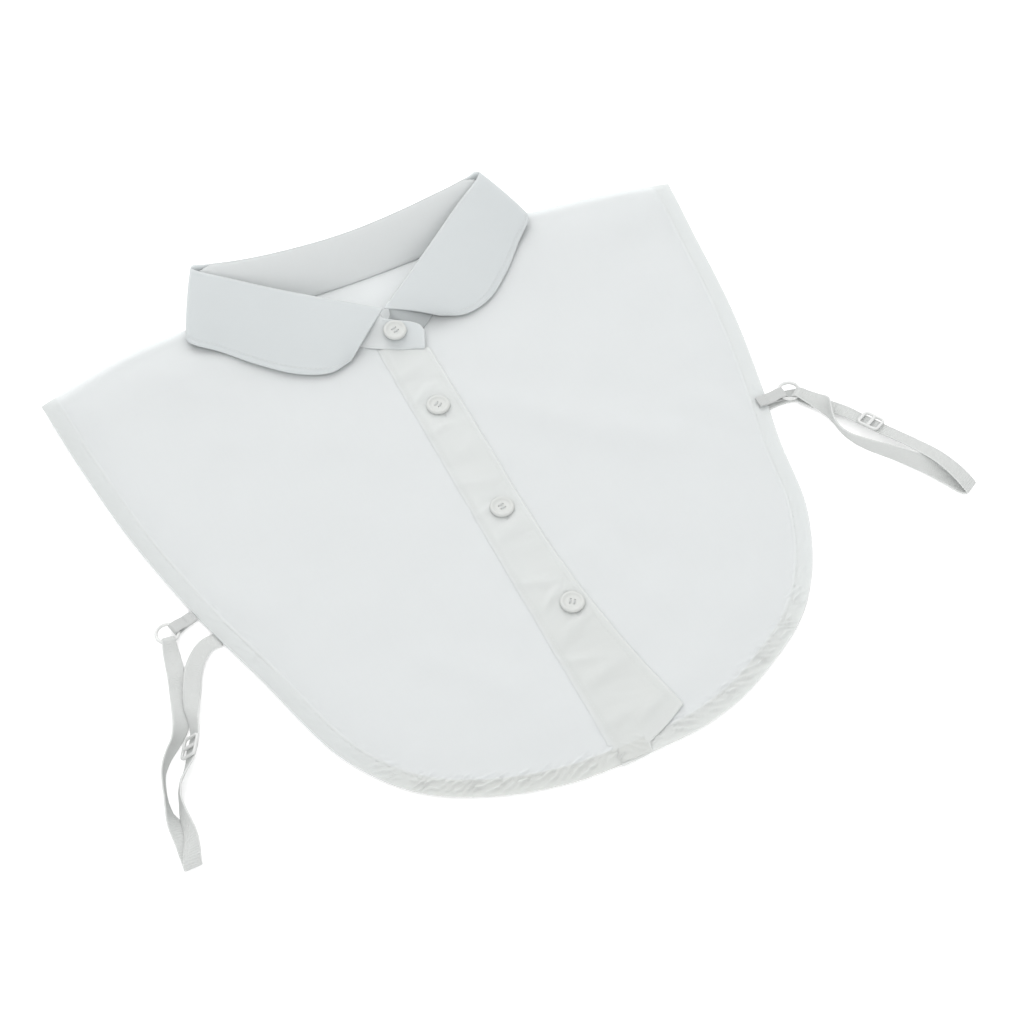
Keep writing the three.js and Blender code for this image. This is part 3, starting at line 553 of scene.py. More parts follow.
# %% [markdown]
# ## The bib
# Two fronts and a back, cut as one outline and lying on each other. Each is a patch stretched between
# four edge curves. The heights come from the solids: the back lies on the table, the fronts lie on the
# back with a little air under their middle, and a few soft folds run across them. The pattern is
# symmetric, but the cloth as it lies is not, so a short table of movements settles each piece last.

# %% Tables of the bib
BIB_OUTLINE = [
    (0, -156), (36, -151.5), (72, -141.5), (101, -125), (122, -99), (137, -64),
    (149, -20), (160, 20), (170.5, 68), (177.5, 118), (182.5, 162.7),
]
CORNER_AT = 3 / 10
SHOULDER_LINE = [(89, 178.4), (101, 177.1), (142, 172), (165, 167.7), (182.5, 162.7)]
NECK_SEAM = [
    (13.1, 124.6, 4.4), (29, 136, 4.4), (48, 150, 4.5), (68, 164.5, 4.5), (88, 178.8, 4.6),
    (84, 179.6, 4.5), (62, 176.4, 4.4), (35, 173.6, 4.3), (0, 172.6, 4.2),
]
CREASE_AT = 4 / 8
SEAM_ALLOWANCE = 0.5
BACK_SCALE = 0.985
WALL = 1.1
GAP = 0.3
LOFT = 1.5
LOFT_MARGIN = 30
FOLD_SHARE = 0.5
FOLDS = [  # from, to, height, width
    ((28, 66), (94, 8), 2.4, 11),
    ((120, 26), (146, -8), 1.8, 9),
    ((55, -3), (59, -40), 1.4, 9),
    ((31, -40), (48, -81), 1.8, 9),
    ((-66, -63), (-39, -95), 1.6, 9),
    ((-150, 22), (-133, 0), 1.5, 9),
    ((-124, 160), (-94, 125), 2.6, 11),
]

outline = through([(x, y, 0) for x, y in BIB_OUTLINE])
shoulder = through([(x, y, 0) for x, y in SHOULDER_LINE])
neck_seam = through(NECK_SEAM)

# %% Heights of the lying cloth
EDGE_SAMPLES = 900
hem_points = outline(np.linspace(0, 1, EDGE_SAMPLES))[:, :2]
hem_runs = np.concatenate([[0], np.cumsum(np.linalg.norm(np.diff(hem_points, axis=0), axis=1))])
shoulder_points = shoulder(np.linspace(0, 1, 200))[:, :2]


def nearest(x, y, edge):
    """Distance of each point to an edge, both halves of the bib taken as one, and the nearest sample."""
    spots = np.stack([np.abs(x).ravel(), np.asarray(y).ravel()], 1)
    found = np.empty(len(spots))
    which = np.empty(len(spots), int)
    for start in range(0, len(spots), 4000):
        away = np.hypot(*(spots[start:start + 4000, None, k] - edge[None, :, k] for k in (0, 1)))
        which[start:start + 4000] = away.argmin(1)
        found[start:start + 4000] = away.min(1)
    return found.reshape(np.shape(x)), which.reshape(np.shape(x))


def fold_height(x, y):
    height = np.zeros(np.shape(x))
    for (x0, y0), (x1, y1), peak, width in FOLDS:
        length = math.hypot(x1 - x0, y1 - y0)
        along = ((x - x0) * (x1 - x0) + (y - y0) * (y1 - y0)) / length
        beside = ((x - x0) * (y1 - y0) - (y - y0) * (x1 - x0)) / length
        end = np.maximum(0, np.maximum(-along, along - length))
        height += FOLD_SHARE * peak * np.exp(-((beside / width) ** 2) - (end / width) ** 2)
    return height


RIPPLES = [  # length, direction in degrees, phase, height
    (71, 15, 0.4, 0.22), (53, 64, 2.1, 0.16), (38, 118, 4.0, 0.10), (29, 35, 1.3, 0.06), (23, 150, 5.1, 0.05),
]


def ripple(x, y):
    """The slow unevenness of ironed cloth, in millimetres."""
    height = 0
    for span, way, phase, size in RIPPLES:
        along = x * math.cos(math.radians(way)) + y * math.sin(math.radians(way))
        height = height + size * np.sin(math.tau * along / span + phase)
    return height


def back_under(y):
    """The underside of the back panel, which the collar lifts towards the neck."""
    return 2.2 * smooth(120, 160, y)


def front_under(x, y):
    away = np.minimum(nearest(x, y, hem_points)[0], nearest(x, y, shoulder_points)[0])
    settled = smooth(0, LOFT_MARGIN, away)
    return back_under(y) + WALL + GAP + (LOFT + fold_height(x, y) + ripple(x, y)) * settled


SETTLING = [  # place, movement, reach: how the lying bib differs from its symmetric pattern
    ((140, -62), (3.0, 0.0, 0), 32), ((88, -130), (-0.6, 3.4, 0), 32), ((-138, -50), (2.2, 0.6, 0), 32),
    ((0, -156), (0.0, 2.4, 0), 26), ((-125, 172), (0.0, 3.4, 0), 34),
]
COLLAR_SETTLING = [  # the same for the right shoulder of the collar
    ((83.4, 201.2), (0.5, -2.3, -0.4), 22), ((101, 168.9), (0.3, 1.8, 0.2), 14),
]


def settled(points, table=SETTLING):
    moved = points.copy()
    for (x, y), movement, reach in table:
        weight = np.exp(-((points[..., 0] - x) ** 2 + (points[..., 1] - y) ** 2) / reach**2)
        moved += weight[..., None] * movement
    return moved


def gathered(y):
    """How strongly the hem is gathered: most where it curves under the bib."""
    return 0.15 + 0.85 * smooth(-80, -140, y)


# %% Patches between four edges
def patch(bottom, top, left, right, u, v):
    """Coons patch: a grid of points from four edge curves."""
    b, t, l, r = bottom(u), top(u), left(v), right(v)
    us, vs = u[:, None, None], v[None, :, None]
    return (b[:, None] * (1 - vs) + t[:, None] * vs + l[None] * (1 - us) + r[None] * us
            - (b[0] * (1 - us) * (1 - vs) + b[-1] * us * (1 - vs) + t[0] * (1 - us) * vs + t[-1] * us * vs))


def hem_curve(u):
    return outline(u * CORNER_AT)


def side_curve(v):
    return outline(CORNER_AT + v * (1 - CORNER_AT))


def front_neck(u):
    return neck_seam(u * CREASE_AT) * (1, 1, 0) - np.array((0.6, -0.8, 0)) * SEAM_ALLOWANCE


def front_grid(inner_x, neck_y, u, v):
    """Half of the front, from its inner edge to the side."""
    lead = inner_x / (3 * BIB_OUTLINE[1][0])
    first = np.array((inner_x, neck_y, 0.0))

    def bottom(s):
        t = lead + (1 - lead) * s
        start = np.stack([t / (lead or 1) * inner_x, np.full(len(t), BIB_OUTLINE[0][1]), 0 * t], 1)
        return np.where((t < 0)[:, None], start, hem_curve(np.maximum(t, 0)))

    def top(s):
        t = np.clip(s / 0.5, 0, 1)
        begin = first + (front_neck(np.zeros(1)) - first) * (t / 0.15)[:, None]
        tip = shoulder(np.zeros(1))
        middle = front_neck(np.clip((t - 0.15) / 0.85, 0, 1))
        middle = middle + (tip - middle) * smooth(0.9, 1, t)[:, None]
        joined = np.where((t < 0.15)[:, None], begin, middle)
        return np.where((s >= 0.5)[:, None], shoulder(np.clip((s - 0.5) / 0.5, 0, 1)), joined)

    def inner(s):
        foot = bottom(np.zeros(1))[0]
        return foot + (first - foot) * s[:, None]

    return patch(bottom, top, inner, side_curve, u, v)


# %% Grid lines that crowd towards the hem
def crowded(count, fine_share, fine_count):
    """Steps from 0 to 1 with fine_count of them in the first fine_share."""
    return np.concatenate([np.linspace(0, fine_share, fine_count, endpoint=False),
                           np.linspace(fine_share, 1, count - fine_count)])


# %% Fronts
HEM = 8.4
HEM_PUCKERS = dict(Pitch=5.6, Slant=1.3, Height=0.0011, Hem=HEM, Wander=3.4)
HEM_STITCH = 1.2  # from the inner edge of the hem to its stitches
HEM_LIFT = 0.12
HEM_GROOVE = 0.2
FRONT_WALL = 0.5
BACK_WALL = 0.6
HEM_WALL = 0.95


def doubled_hem(inset):
    """1 within the hem's width of the edge, 0 inside it."""
    return 1 - smooth(HEM - 0.5, HEM + 0.5, inset)


def front_piece(name, grid, node, edge_shade, hem_tone):
    """A front with a doubled hem, pressed in along its stitches and puckered by them."""
    x, y = grid[..., 0], grid[..., 1]
    inset, sample = nearest(x, y, hem_points)
    run = hem_runs[sample]
    doubled = doubled_hem(inset)
    groove = HEM_GROOVE * gathered(y) * np.exp(-(((inset - HEM + HEM_STITCH) / 1.3) ** 2))
    grid[..., 2] = front_under(x, y) + 0.5 * WALL + HEM_LIFT * doubled - groove
    wall = FRONT_WALL + (HEM_WALL - FRONT_WALL) * doubled
    # Painted shade in the colour: the right front's corner under the collar's leaf, and the rim of the hem,
    # where its edge turns down from the light.
    corner_shade = 0.8 * np.exp(-(((x - 27) / 11) ** 2) - ((y - 129) / 7) ** 2)
    rim_shade = edge_shade * np.exp(-inset / 6) * (1.15 - gathered(y))
    piece = shell(name, settled(grid), wall, POPLIN, np.stack([x, y], -1),
                  layers=doubled * (0.2 + hem_tone * gathered(y)), tucked=corner_shade + rim_shade,
                  hem_run=run, hem_inset=inset, hem_gather=gathered(y))
    run_tree(piece, pucker_tree, Cloth=POPLIN, **HEM_PUCKERS)
    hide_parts(node)
    print(name, len(piece.data.polygons), "faces,", round(area_of(grid), 4), "m2")
    return piece


across = 1 - crowded(96, 0.13, 26)[::-1]
upward = crowded(236, 0.06, 24)
right_grid = front_grid(-10.0, 113.4, across, upward)
left_grid = front_grid(8.0, 120.6, across, upward)
left_grid = left_grid[::-1] * (-1, 1, 1)
front_right = front_piece("front_right_cloth", right_grid, "front_panel_right", 0.3, 0.6)
front_left = front_piece("front_left_cloth", left_grid, "front_panel_left", 0.62, 0.84)

# %% Back panel
def mirrored_halves(half):
    def whole(u):
        side = half(np.abs(2 * u - 1))
        return np.where((u < 0.5)[:, None], side * (-1, 1, 1), side)
    return whole


def back_neck(t):
    return (neck_seam(1 - t * (1 - CREASE_AT)) * (1, 1, 0) + (0, SEAM_ALLOWANCE, 0)) / BACK_SCALE


NECK_SHARE = 0.48


def back_top(t):
    neck = back_neck(np.clip(t / NECK_SHARE, 0, 1))
    return np.where((t < NECK_SHARE)[:, None], neck,
                    shoulder(np.clip((t - NECK_SHARE) / (1 - NECK_SHARE), 0, 1)))


back_grid = BACK_SCALE * patch(
    mirrored_halves(hem_curve), mirrored_halves(back_top), lambda v: side_curve(v) * (-1, 1, 1), side_curve,
    np.linspace(0, 1, 121), np.linspace(0, 1, 111),
)
back_grid[..., 2] = back_under(back_grid[..., 1]) + 0.5 * WALL
inset = nearest(back_grid[..., 0] / BACK_SCALE, back_grid[..., 1] / BACK_SCALE, hem_points)[0]
back_doubled = doubled_hem(inset)
back_wall = BACK_WALL + (HEM_WALL - BACK_WALL) * back_doubled
back_panel = shell("back_cloth", settled(back_grid), back_wall, BACK_POPLIN_PAINTED_LIGHT, back_grid[..., :2].copy(),
                   layers=0.6 * back_doubled)
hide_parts("back_panel")
print("back", round(area_of(back_grid), 4), "m2")

# %% [markdown]
# ## The placket
# A doubled strip, sewn to the left front along one side and free along the other, where the right front
# slips under it. Buttoning has pulled it into short crosswise creases, so it gets its own table of them.
# Their valleys are kept shallow, so that the strip sinks less into the front below it.

# %% Placket
PLACKET_CREASES = [  # place, direction in degrees, half length, half width, height
    (-6, 100, 20, 12, 3, 0.6), (4, 92, -20, 9, 2.4, -0.6), (-5, 84, 30, 10, 2.6, 0.7),
    (7, 66, 35, 10, 3, -0.5), (-4, 60, 10, 9, 2.6, 0.6), (5, 45, 25, 12, 4, 0.5),
    (-6, 34, -10, 9, 3, -0.4), (-5, 22, -15, 11, 3, 0.6), (6, 12, 30, 10, 3, -0.6),
    (-4, 4, 10, 8, 2.4, 0.6), (0, -12, 20, 12, 3.5, 0.6), (9, -20, 5, 9, 3, -0.5),
    (8, -33, 5, 12, 4, -0.5), (0, -47, -20, 12, 3, 0.7), (16, -50, 15, 9, 3, -0.8),
    (0, -58, 35, 9, 2.4, 0.7), (2, -78, 25, 13, 3.5, 0.6), (12, -88, 0, 13, 3.5, -0.7),
    (0, -96, -15, 11, 3, 0.5), (4, -106, 15, 14, 4, 0.6), (16, -118, -10, 13, 4, -0.6),
    (0, -132, 10, 14, 4, 0.5), (14, -134, 25, 10, 3, 0.5),
]
CREASE_DROP = 0.28


def crease_height(x, y):
    height = np.zeros(np.shape(x))
    for cx, cy, way, long_half, wide_half, peak in PLACKET_CREASES:
        c, s = math.cos(math.radians(way)), math.sin(math.radians(way))
        along = (x - cx) * c + (y - cy) * s
        beside = (y - cy) * c - (x - cx) * s
        pull = 1.25 + 0.7 * smooth(-30, -75, cy)
        height += pull * peak * np.exp(-((along / long_half) ** 2) - (beside / wide_half) ** 2)
    return np.where(height < 0, CREASE_DROP * np.tanh(height / CREASE_DROP), height)


PLACKET_SIDES = (-12.6, 13.4)
PLACKET_FLARE = 16.5
PLACKET_FOOT = [
    (-12.6, -154.6), (-3, -155.2), (4.4, -155.3), (5.6, -154.8), (6.8, -150.8), (18, -145), (29.9, -138),
]
PLACKET_HEAD = [(-12.6, 123), (-1, 118), (6, 115.4), (13.4, 112.4)]
PLACKET_LIFT = 1.6
SEWN_DROP = 1.12
SEWN_STITCHES, FREE_STITCHES = 0.12, 0.91
FOOT_END, FAR_AWAY = 5.5, 99.0


def placket_grid(share, v):
    """Points of the strip: share goes from its sewn side to its free one, v from the hem to the neck."""
    left, right = PLACKET_SIDES
    corner = PLACKET_FOOT[-1]
    foot_shares = [(x - left) / (corner[0] - left) for x, _ in PLACKET_FOOT]
    head_shares = [(x - left) / (right - left) for x, _ in PLACKET_HEAD]
    foot = np.interp(share, foot_shares, [y for _, y in PLACKET_FOOT])[:, None]
    head = np.interp(share, head_shares, [y for _, y in PLACKET_HEAD])[:, None]
    below = np.minimum(0, corner[1] + (PLACKET_HEAD[-1][1] - corner[1]) * v)[None] / corner[1]
    x = left + (right + PLACKET_FLARE * below**2 - left) * share[:, None]
    y = foot + (head - foot) * v[None]
    return np.stack([x, y, 0 * x], -1)


across_share = np.interp(np.linspace(0, 1, 60), [0, 0.3, 0.62, 1], [0, 0.36, 0.48, 1])
placket = placket_grid(across_share, np.linspace(0, 1, 380))
px, py = placket[..., 0], placket[..., 1]
strip = across_share[:, None]
sewn = 1 - smooth(0, 0.2, strip)
edge_groove = (0.05 * np.exp(-(((strip - SEWN_STITCHES) / 0.04) ** 2))
               + 0.08 * np.exp(-(((strip - FREE_STITCHES) / 0.025) ** 2)))
inside = smooth(0, 0.14, strip) * (0.4 + 0.6 * (1 - smooth(0.8, 1, strip)))
placket[..., 2] = (front_under(px, py) + PLACKET_LIFT - SEWN_DROP * sewn
                   + crease_height(px, py) * inside - edge_groove)
placket_wall = 0.95 - 0.5 * (1 - smooth(0, 0.1, strip))
foot_inset, sample = nearest(px, py, hem_points)
foot_inset = np.where(px < FOOT_END, foot_inset, FAR_AWAY)
placket_layers = (0.6 + 0.14 * smooth(-20, -90, py)) * smooth(-0.03, 0.12, strip)
placket_layers = np.maximum(placket_layers, doubled_hem(foot_inset))
placket_strip = shell("placket_cloth", settled(placket), placket_wall, POPLIN, placket[..., :2].copy(),
                      layers=placket_layers, hem_run=hem_runs[sample] * np.sign(px),
                      hem_inset=foot_inset, hem_gather=0.4)
run_tree(placket_strip, pucker_tree, Cloth=POPLIN, **HEM_PUCKERS)
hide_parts("placket")
print("placket", round(area_of(placket), 4), "m2")

# %% [markdown]
# ## The collar
# A collar has two parts. The stand is the band round the neck, and its front ends cross and button. The
# fall is sewn to the top of the stand, rolls over it and lies on the shoulders, with two rounded points.
# Both are stiff, so they keep smooth single curves: each is a loft between a few curves round the neck.

# %% Tables of the collar
FALL_SECTIONS = [  # fold, bend, edge, share of the skew at the left and at the right
    ((0.8, 140.2, 13.6), (14, 132.8, 11.8), (27.5, 123.5, 6), 1, 2.3),
    ((12, 147.8, 15), (27, 136.4, 13.2), (40, 121, 5.8), 1, 1.5),
    ((26, 157.6, 16.4), (42, 145, 14), (55, 126.3, 6), 0.7, 0.7),
    ((47, 172.2, 19), (61, 157.5, 15.8), (72, 140, 6.9), 0.4, 0.4),
    ((66, 186.6, 21.6), (77.5, 171.5, 17.6), (86, 154.9, 8), 0.3, 0.3),
    ((83.4, 201.2, 24), (92, 185.5, 18.6), (99.6, 168.9, 9), 0.3, 0.3),
    ((81.8, 202.6, 24.1), (90, 193, 15), (95.8, 177.6, 7.4), 0, 0),
    ((77, 201, 24), (89, 202, 5), (91, 183, 1.9), 0, 0),
    ((60, 196.3, 23.6), (65.5, 203, 2), (66, 172.5, 1), 0, 0),
    ((35, 192.3, 23.2), (38, 199, 2), (38, 170.5, 0.9), 0, 0),
    ((0, 190, 23), (0, 197, 2), (0, 170, 0.9), 0, 0),
]
STAND_TOP = [
    (9, 141.2, 11.6), (22.5, 152.6, 14), (46, 169, 16.8), (65, 183.2, 19.2), (80.9, 196.2, 20.2),
    (77, 196.8, 20.6), (60, 193.2, 21), (35, 190, 20.7), (0, 188, 20.6),
]
STAND_TAB = [  # seam, top
    ((10.9, 112.6, 5.3), (14.8, 121.4, 7.8)), ((10.1, 112.9, 5.3), (14.0, 125.0, 8.9)),
    ((6.4, 114.4, 5.3), (10.4, 128.3, 9.7)), ((-1, 117.3, 5.2), (1.8, 133, 10.7)),
]
STAND_UNDERLAP = [((1, 119.8, 3.3), (-2.6, 134, 7.6)), ((-8.5, 117.6, 3.0), (-10.2, 129.2, 5.6))]
TAB_MOUTH = (-8.5, 132, 9)
LEAF_SKEW = 2.5
END_LIFT = 0.4
COLLAR_WALL = 1.1
STAND_WALL = 1.0
FOLD_SAMPLES = 6000


def both_halves(points, shifts=None):
    """The points of one half, mirrored to the other; shifts move left ones down and right ones up in Y."""
    points = np.array(points, float)
    shifts = np.zeros((len(points), 2)) if shifts is None else np.array(shifts)
    left = points * (-1, 1, 1) - shifts[:, :1] * (0, 1, 0)
    right = points + shifts[:, 1:] * (0, 1, 0)
    return np.vstack([left, right[:-1][::-1]])


# %% Stand
seams, tops = both_halves(NECK_SEAM), both_halves(STAND_TOP)
for line in (seams, tops):
    line[0, 2] += END_LIFT
    line[-1, 2] -= END_LIFT
stand_seam = through(np.vstack([[s for s, _ in STAND_TAB], seams, [s for s, _ in STAND_UNDERLAP]]))
stand_top = through(np.vstack([[t for _, t in STAND_TAB], tops, [t for _, t in STAND_UNDERLAP]]))
around = np.linspace(0, 1, 420)
up_stand = np.linspace(0, 1, 15)
low, high = stand_seam(around), stand_top(around)
low[:, 2] -= 0.75 * smooth(166, 172, low[:, 1])
fold_line = through(both_halves([s[0] for s in FALL_SECTIONS]))
fold_points = fold_line(np.linspace(0, 1, FOLD_SAMPLES))
away = np.linalg.norm(high[:, None] - fold_points[None], axis=2)
half_way = len(around) // 2
first, last = away[:half_way, 0].argmin(), half_way + away[half_way:, -1].argmin()
steps = np.arange(len(around))
reach = smooth(first - 3, first + 6, steps) * (1 - smooth(last - 6, last + 3, steps))
reach *= 1 - 0.6 * smooth(73, 79, np.abs(high[:, 0]))
expected = np.clip((steps - first) / (last - first), 0, 1)
away += 60 * np.abs(expected[:, None] - np.linspace(0, 1, FOLD_SAMPLES)[None])
high += (fold_points[away.argmin(1)] - high) * reach[:, None]
stand_grid = low[:, None] + (high - low)[:, None] * up_stand[None, :, None]
# Painted light and shade in the stand's colour: lighter round the neck, where its inside shows, darker on the
# tab and on the far end.
stand_painted_tone = 0.05 + 0.8 * smooth(first - 8, first + 4, steps) - 0.85 * smooth(last - 40, last - 30, steps)
# Painted shade at the mouth of the tab and on the stand's far end under the right leaf.
tab_shade = np.exp(-(np.linalg.norm(stand_grid - TAB_MOUTH, axis=-1) / 10) ** 2)
under_shade = smooth(last - 44, last - 34, steps)[:, None]
stand = shell("stand_cloth", settled(stand_grid, COLLAR_SETTLING), STAND_WALL, COLLAR_CLOTH,
              layers=stand_painted_tone[:, None], tucked=0.85 * under_shade + 0.6 * tab_shade)
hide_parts("collar_stand")
print("stand", round(area_of(stand_grid), 4), "m2")

# %% Fall
skews = [(LEAF_SKEW * left, LEAF_SKEW * right) for _, _, _, left, right in FALL_SECTIONS]
bend_skews = [(left, min(right, LEAF_SKEW)) for left, right in skews]
bend_line = through(both_halves([s[1] for s in FALL_SECTIONS], bend_skews))
edge_line = through(both_halves([s[2] for s in FALL_SECTIONS], skews))
round_neck = np.linspace(0, 1, 460)
down = np.linspace(0, 1, 34)[None, :, None]
fold, bend, edge = (line(round_neck)[:, None] for line in (fold_line, bend_line, edge_line))
fall_grid = fold * (1 - down) ** 2 + 2 * bend * down * (1 - down) + edge * down**2
fall = shell("fall_cloth", settled(fall_grid, COLLAR_SETTLING), COLLAR_WALL, COLLAR_CLOTH, layers=0.0)
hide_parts("collar_fall")
print("fall", round(area_of(fall_grid), 4), "m2")

# %% [markdown]
# ## Buttons
# Ordinary four-hole shirt buttons: a raised rim round a shallow dish. The profile is spun, the holes are
# drilled with a Boolean, and the sewing thread runs from hole to hole in two short bars.

# %% Button
BUTTONS = [  # name, x, y, z, lean, turn
    ("button_stand", 0.4, 126.4, 9.6, 6, 18),
    ("button_upper", 1.2, 74.0, None, 0, 35),
    ("button_middle", 2.6, 1.0, None, 0, 10),
    ("button_lower", 8.6, -65.0, None, 0, 52),
]
PROFILE = [
    (0, 0), (4.6, 0), (5.6, 0.15), (6.1, 0.6), (6.2, 1.05), (6.05, 1.5), (5.7, 1.82), (5.2, 1.95),
    (4.7, 1.92), (4.3, 1.78), (4.0, 1.6), (3.6, 1.5), (2.4, 1.46), (0, 1.45),
]
HOLE_SPREAD = 1.5
HOLE_RADIUS = 0.52


def spun(name, profile, sides, material):
    """A closed body of revolution about Z; the profile starts and ends on the axis."""
    angles = np.arange(sides) * math.tau / sides
    rings = np.array(profile[1:-1])
    points = [(0, 0, profile[0][1])]
    for radius, height in rings:
        points += [(radius * math.cos(a), radius * math.sin(a), height) for a in angles]
    points.append((0, 0, profile[-1][1]))
    last = len(points) - 1
    faces = []
    for k in range(sides):
        n = (k + 1) % sides
        faces.append((0, 1 + n, 1 + k))
        for ring in range(len(rings) - 1):
            a, b = 1 + ring * sides, 1 + (ring + 1) * sides
            faces.append((a + k, a + n, b + n, b + k))
        a = 1 + (len(rings) - 1) * sides
        faces.append((a + k, a + n, last))
    mesh = bpy.data.meshes.new(name)
    mesh.from_pydata([tuple(c / 1000 for c in p) for p in points], [], faces)
    mesh.materials.append(material)
    return new_object(name, mesh)


def cut_from(item, tools, operation="DIFFERENCE"):
    """Cuts the tools out of an object, or joins them to it, and removes them."""
    for tool in tools:
        modifier = item.modifiers.new("cut", "BOOLEAN")
        modifier.operation = operation
        modifier.object = tool
    graph = bpy.context.evaluated_depsgraph_get()
    result = bpy.data.meshes.new_from_object(item.evaluated_get(graph), depsgraph=graph)
    item.modifiers.clear()
    item.data = result
    for tool in tools:
        bpy.data.objects.remove(tool)


def rod(name, place, radius, low, high, sides=20):
    item = spun(name, [(0, low), (radius, low), (radius, high), (0, high)], sides, PEARL)
    item.data.transform(Matrix.Translation(Vector((place[0], place[1], 0)) / 1000))
    return item


def shade_by_angle(item, degrees):
    smooth_faces(item.data)
    item.data.set_sharp_from_angle(angle=math.radians(degrees))


blank = spun("button", PROFILE, 72, PEARL)
holes = [(HOLE_SPREAD * math.cos(a), HOLE_SPREAD * math.sin(a)) for a in (0.785, 2.356, 3.927, 5.498)]
cut_from(blank, [rod("drill", h, HOLE_RADIUS, -1, 4) for h in holes])
shade_by_angle(blank, 38)
print("button", len(blank.data.polygons), "faces")

# %% Sewn on
BUTTON_REST = 0.5
STRAND_SHIFT = 0.22
placed_buttons = []
for name, x, y, z, lean, turn in BUTTONS:
    spot = np.array([[x]]), np.array([[y]])
    rest = float(front_under(*spot)[0, 0]) + PLACKET_LIFT + BUTTON_REST if z is None else z
    matrix = (Matrix.Translation(Vector((x, y, rest)) / 1000) @ Matrix.Rotation(math.radians(lean), 4, "X")
              @ Matrix.Rotation(math.radians(turn), 4, "Z"))
    button = new_object(name + "_pearl", blank.data.copy())
    button.data.transform(matrix)
    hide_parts(name)
    up = np.array(matrix.to_3x3() @ Vector((0, 0, 1)))
    strands = []
    for a, b in ((0, 1), (3, 2)):
        (ax, ay), (bx, by) = holes[a], holes[b]
        rise = [(t, 1.35 + 0.45 * math.sin(math.pi * t)) for t in np.linspace(0, 1, 9)]
        for shift in (-STRAND_SHIFT, STRAND_SHIFT):
            path = [matrix @ (Vector((ax + (bx - ax) * t, ay + (by - ay) * t + shift, h)) / 1000)
                    for t, h in rise]
            strands.append(stitch_line("strand", np.array(path) * 1000, up, 0.32, 0.62, 0.5))
    placed_buttons.append((button, strands))
bpy.data.objects.remove(blank)
print("sewn on:", len(placed_buttons), "buttons")


def joined(name, items):
    """One object from several."""
    with bpy.context.temp_override(active_object=items[0], selected_editable_objects=items, object=items[0]):
        bpy.ops.object.join()
    items[0].name = name
    return items[0]


pieces = []
for button, strands in placed_buttons:
    thread = joined(button.name.replace("_pearl", "_thread"), strands)
    pieces += [button, thread]

# %% [markdown]
# ## Straps
# Each strap is one length of elastic: sewn round the ring, out to its tip, back through the slide and on
# to the back panel. It lies on the table in lazy curves, partly on its edge. A table gives its middle
# line, and at each point the direction and tilt of its width.

# %% Routes
LEFT_ROUTE = [  # x, y, z, side, tilt, width
    (-177.8, -18, 0.7, -12, 0, 8), (-175.6, -6, 0.7, -10, 0, 7), (-174.4, 0.3, 0.95, -8, 0, 5.4),
    (-174.1, 2.4, 2.9, -8, 0, 5.4), (-174.4, 0.3, 4.85, -8, 0, 5.4), (-175.8, -6, 2.6, -10, 0, 7),
    (-178, -18.7, 2, -12, 0, 8), (-179.9, -26, 1.2, -14, 0, 8), (-182.8, -36.5, 1.8, -18, -15, 8),
    (-186.2, -46, 3.1, -30, -35, 8), (-191.5, -53.8, 4.3, -40, -70, 8), (-197.2, -59.5, 4.5, -40, -80, 8),
    (-201.8, -65.8, 4.6, -32, -86, 8), (-204.4, -73, 4.6, -15, -86, 8), (-206, -80.2, 4.6, -6, -84, 8),
    (-206.9, -86.8, 4.3, 0, -70, 8), (-206.6, -93.4, 2.6, 4, -30, 8), (-206, -100.1, 1.3, 2, -5, 8),
    (-206.4, -107.8, 0.9, 0, 0, 8), (-206.8, -114.8, 1, 0, 0, 8), (-207, -116.8, 2.7, 0, 0, 8),
    (-206.6, -114.8, 4.5, 0, 0, 8), (-204.9, -110, 5.2, 0, 15, 8), (-202.8, -103.6, 5.7, 0, 40, 8),
    (-202, -97, 5.7, 0, 55, 8), (-201.6, -90.6, 5.2, -4, 66, 8), (-200.3, -83.6, 4.8, -12, 80, 8),
    (-197.2, -75.4, 4.8, -22, 78, 8), (-193.4, -71.2, 4.9, -28, 70, 8), (-189.2, -66.6, 5.1, -30, 58, 8),
    (-185.6, -60.5, 5.2, -30, 48, 8), (-182, -54.4, 5.2, -30, 58, 8), (-179.6, -46.6, 5.2, -24, 52, 8),
    (-177.8, -39.4, 5, -28, 24, 8), (-174.4, -30.8, 4, -26, 0, 8), (-170, -21, 3.4, -30, -10, 8),
    (-165.1, -13.8, 2.6, -42, 0, 8), (-158.6, -8.4, 1.2, -68, 0, 8), (-152, -7.4, 0.7, -88, 0, 8),
]
